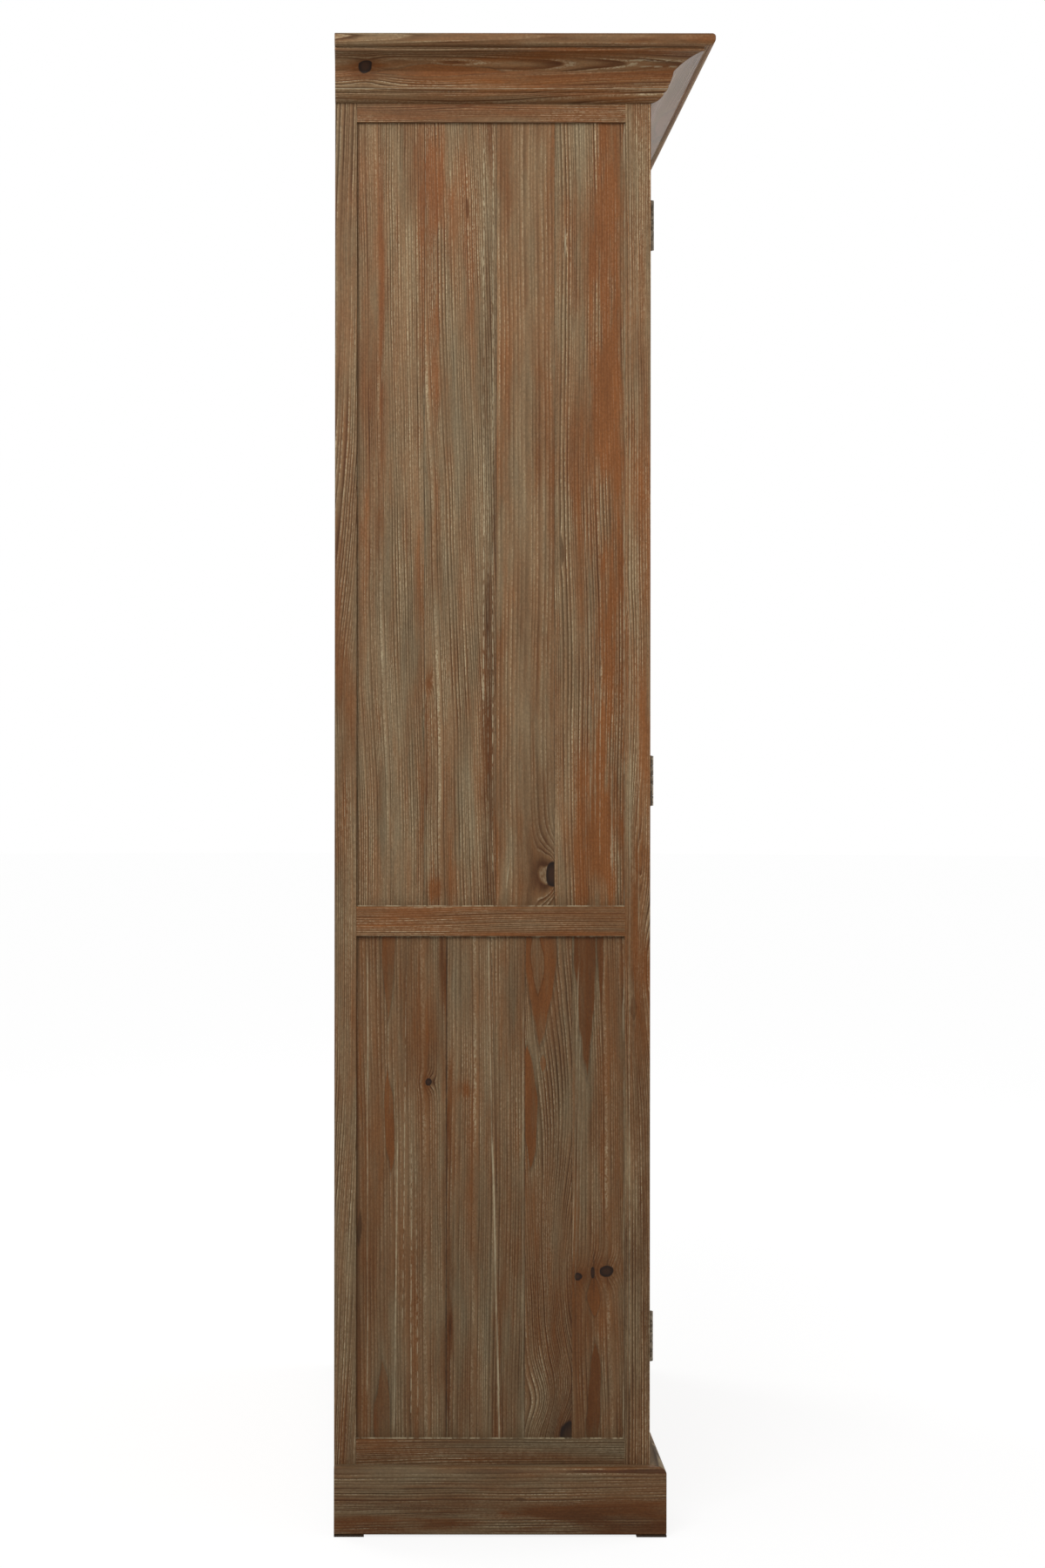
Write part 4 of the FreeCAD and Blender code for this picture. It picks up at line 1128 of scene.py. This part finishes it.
knob_projection = 26 * mm
knob_edge = 0.1 * mm
knob_profile = (
    (0, 11), (1.5, 11), (2.3, 10.4), (2.9, 8.0), (4.2, 6.2), (6.5, 5.5), (9.0, 5.8),
    (11.0, 7.6), (12.8, 11.4), (14.8, 14.6), (17.0, 15.9), (19.4, 15.7), (22.0, 14.2),
    (24.0, 11.4), (25.3, 7.6), (25.9, 3.6), (26.0, 0.4),
)
bolt_profile = (
    (-24.6, 2.4), (-24.3, 3.5), (-23.4, 4.3), (-22.4, 4.5), (-21.9, 4.5), (-21.8, 2.0), (1.0, 2.0),
)
plate_screw_reach = 11 * mm
plate_screw_head = 2.4 * mm
plate_screw_seat = 0.5 * mm
plate_head_rise = 0.12 * mm
for hand in ("left", "right"):
    low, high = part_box(f"{hand}_door_knob")
    foot = Vector(((low.x + high.x) / 2, low.y + knob_projection, (low.z + high.z) / 2))
    knob_solid = Solid()
    for profile in (knob_profile, bolt_profile):
        sizes = [(distance * mm, radius * mm) for distance, radius in profile]
        knob_solid.turned(foot, outwards, sizes, sides=48)
    knob_solid.finish(f"{hand}_turned_knob", f"{hand}_door", [f"{hand}_door_knob"], knob_edge)

    # The strike plate's two screws
    low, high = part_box(f"{hand}_door_strike_plate")
    plate_screws = Solid()
    for side in (-1, 1):
        middle = (low.x + high.x) / 2 + side * plate_screw_reach
        centre = Vector((middle, high.y, (low.z + high.z) / 2))
        profile = [(-plate_screw_seat, plate_screw_head), (film, plate_screw_head)]
        plate_screws.turned(centre, inwards, profile, sides=24)
        turn = dice.uniform(0, math.pi)
        plate_screws.slotted_head(centre, inwards, plate_screw_head, plate_head_rise, turn)
    plate_screws.finish(f"{hand}_strike_screws", f"{hand}_door", bevel=film, slot="zinc_plate")

# The steel poles in the front of each catch
low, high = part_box("magnetic_catches")
catch_half = 29 * mm
pole_half = 15 * mm
pole_thickness = 1.6 * mm
pole_depth = 2 * mm
pole_proud = 0.12 * mm
pole_heights = (3.5 * mm, 8.5 * mm)
poles = Solid()
for x in (low.x + catch_half, high.x - catch_half):
    for height in pole_heights:
        corner = Vector((x - pole_half, low.y - pole_proud, low.z + height))
        outline = []
        for dx, dz in ((0, 0), (2 * pole_half, 0), (2 * pole_half, pole_thickness), (0, pole_thickness)):
            outline.append(corner + Vector((dx, 0, dz)))
        poles.prism(outline, Vector((0, pole_depth, 0)))
poles.finish("catch_poles", "carcass", bevel=screw_edge, slot="zinc_plate")

# Floor: the camera sees it white, a little less so near the cabinet, where its shadow falls

floor_radius = 24.0
floor_mesh = bpy.data.meshes.new("floor")
sketch = bmesh.new()
bmesh.ops.create_circle(sketch, cap_ends=True, radius=floor_radius, segments=96)
sketch.to_mesh(floor_mesh)
sketch.free()
floor = add_object("floor", floor_mesh)
floor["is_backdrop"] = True
paper_material, paper = new_material("floor_paper")
seen = paper.seen()
matt = paper.add("ShaderNodeBsdfDiffuse")
grey = paper.remap(seen, 0.0, 1.0, 0.49, 0.22)
paper.plug(matt.inputs["Color"], paper.vector(grey, grey, grey))
distance = paper.length(paper.place())
white = paper.remap(distance, 1.2, 4.0, 0.84, 0.885)
glow = paper.add("ShaderNodeEmission")
paper.plug(glow.inputs["Strength"], paper.times(seen, white))
lit = paper.add("ShaderNodeAddShader")
paper.plug(lit.inputs[0], matt.outputs[0])
paper.plug(lit.inputs[1], glow.outputs[0])
paper.show(lit)
floor_mesh.materials.append(paper_material)

# World: plain white to the camera, soft light to the cabinet

sky_light = 0.47
world = bpy.data.worlds.new("studio")
bpy.context.scene.world = world
world.use_nodes = True
world.node_tree.nodes.clear()
sky = Tree(world.node_tree)
background = sky.add("ShaderNodeBackground")
background.inputs["Color"].default_value = (1.0, 1.0, 1.0, 1.0)
sky.plug(background.inputs["Strength"], sky.remap(sky.seen(), 0.0, 1.0, sky_light, 1.0))
sky.show(background, "World")


def lamp(name, place, target, size, share):
    """A soft square lamp, whose share is how bright it makes a white surface at the target."""
    data = bpy.data.lights.new(name, "AREA")
    data.shape = "SQUARE"
    data.size = size
    beam = Vector(target) - Vector(place)
    data.energy = share * math.pi ** 2 * beam.length ** 2
    holder = add_object(name, data)
    holder.location = place
    holder.rotation_euler = beam.to_track_quat("-Z", "Y").to_euler()


lamp("key", (-2.8, 0.9, 2.7), (-0.55, 0.0, 1.6), 1.5, 0.62)
lamp("front_fill", (0.8, -3.6, 1.0), (0.0, -0.2, 1.5), 1.8, 0.5)
lamp("back_fill", (2.4, 3.0, 2.6), (0.3, 0.28, 1.5), 1.8, 0.40)

# Camera: square to the left side, as far off as the photograph's perspective says

photo_width = 1200
photo_height = 1800
pixels_per_metre = 763.3
camera_distance = 4.2
axis_column = 424
axis_row = 845
sensor = 36.0
camera_data = bpy.data.cameras.new("camera")
camera_data.sensor_width = sensor
camera_data.lens = sensor * pixels_per_metre * camera_distance / photo_height
camera_data.shift_x = (photo_width / 2 - axis_column) / photo_height
camera_data.shift_y = (axis_row - photo_height / 2) / photo_height
camera_data.clip_end = 100.0
camera = add_object("camera", camera_data)
camera.location = (-0.55 - camera_distance, 0.229, 1.198)
camera_roll = math.radians(-0.05)
camera.rotation_euler = (math.radians(90), camera_roll, math.radians(-90))
bpy.context.scene.camera = camera

bpy.context.scene.view_settings.view_transform = "Standard"

low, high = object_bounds()
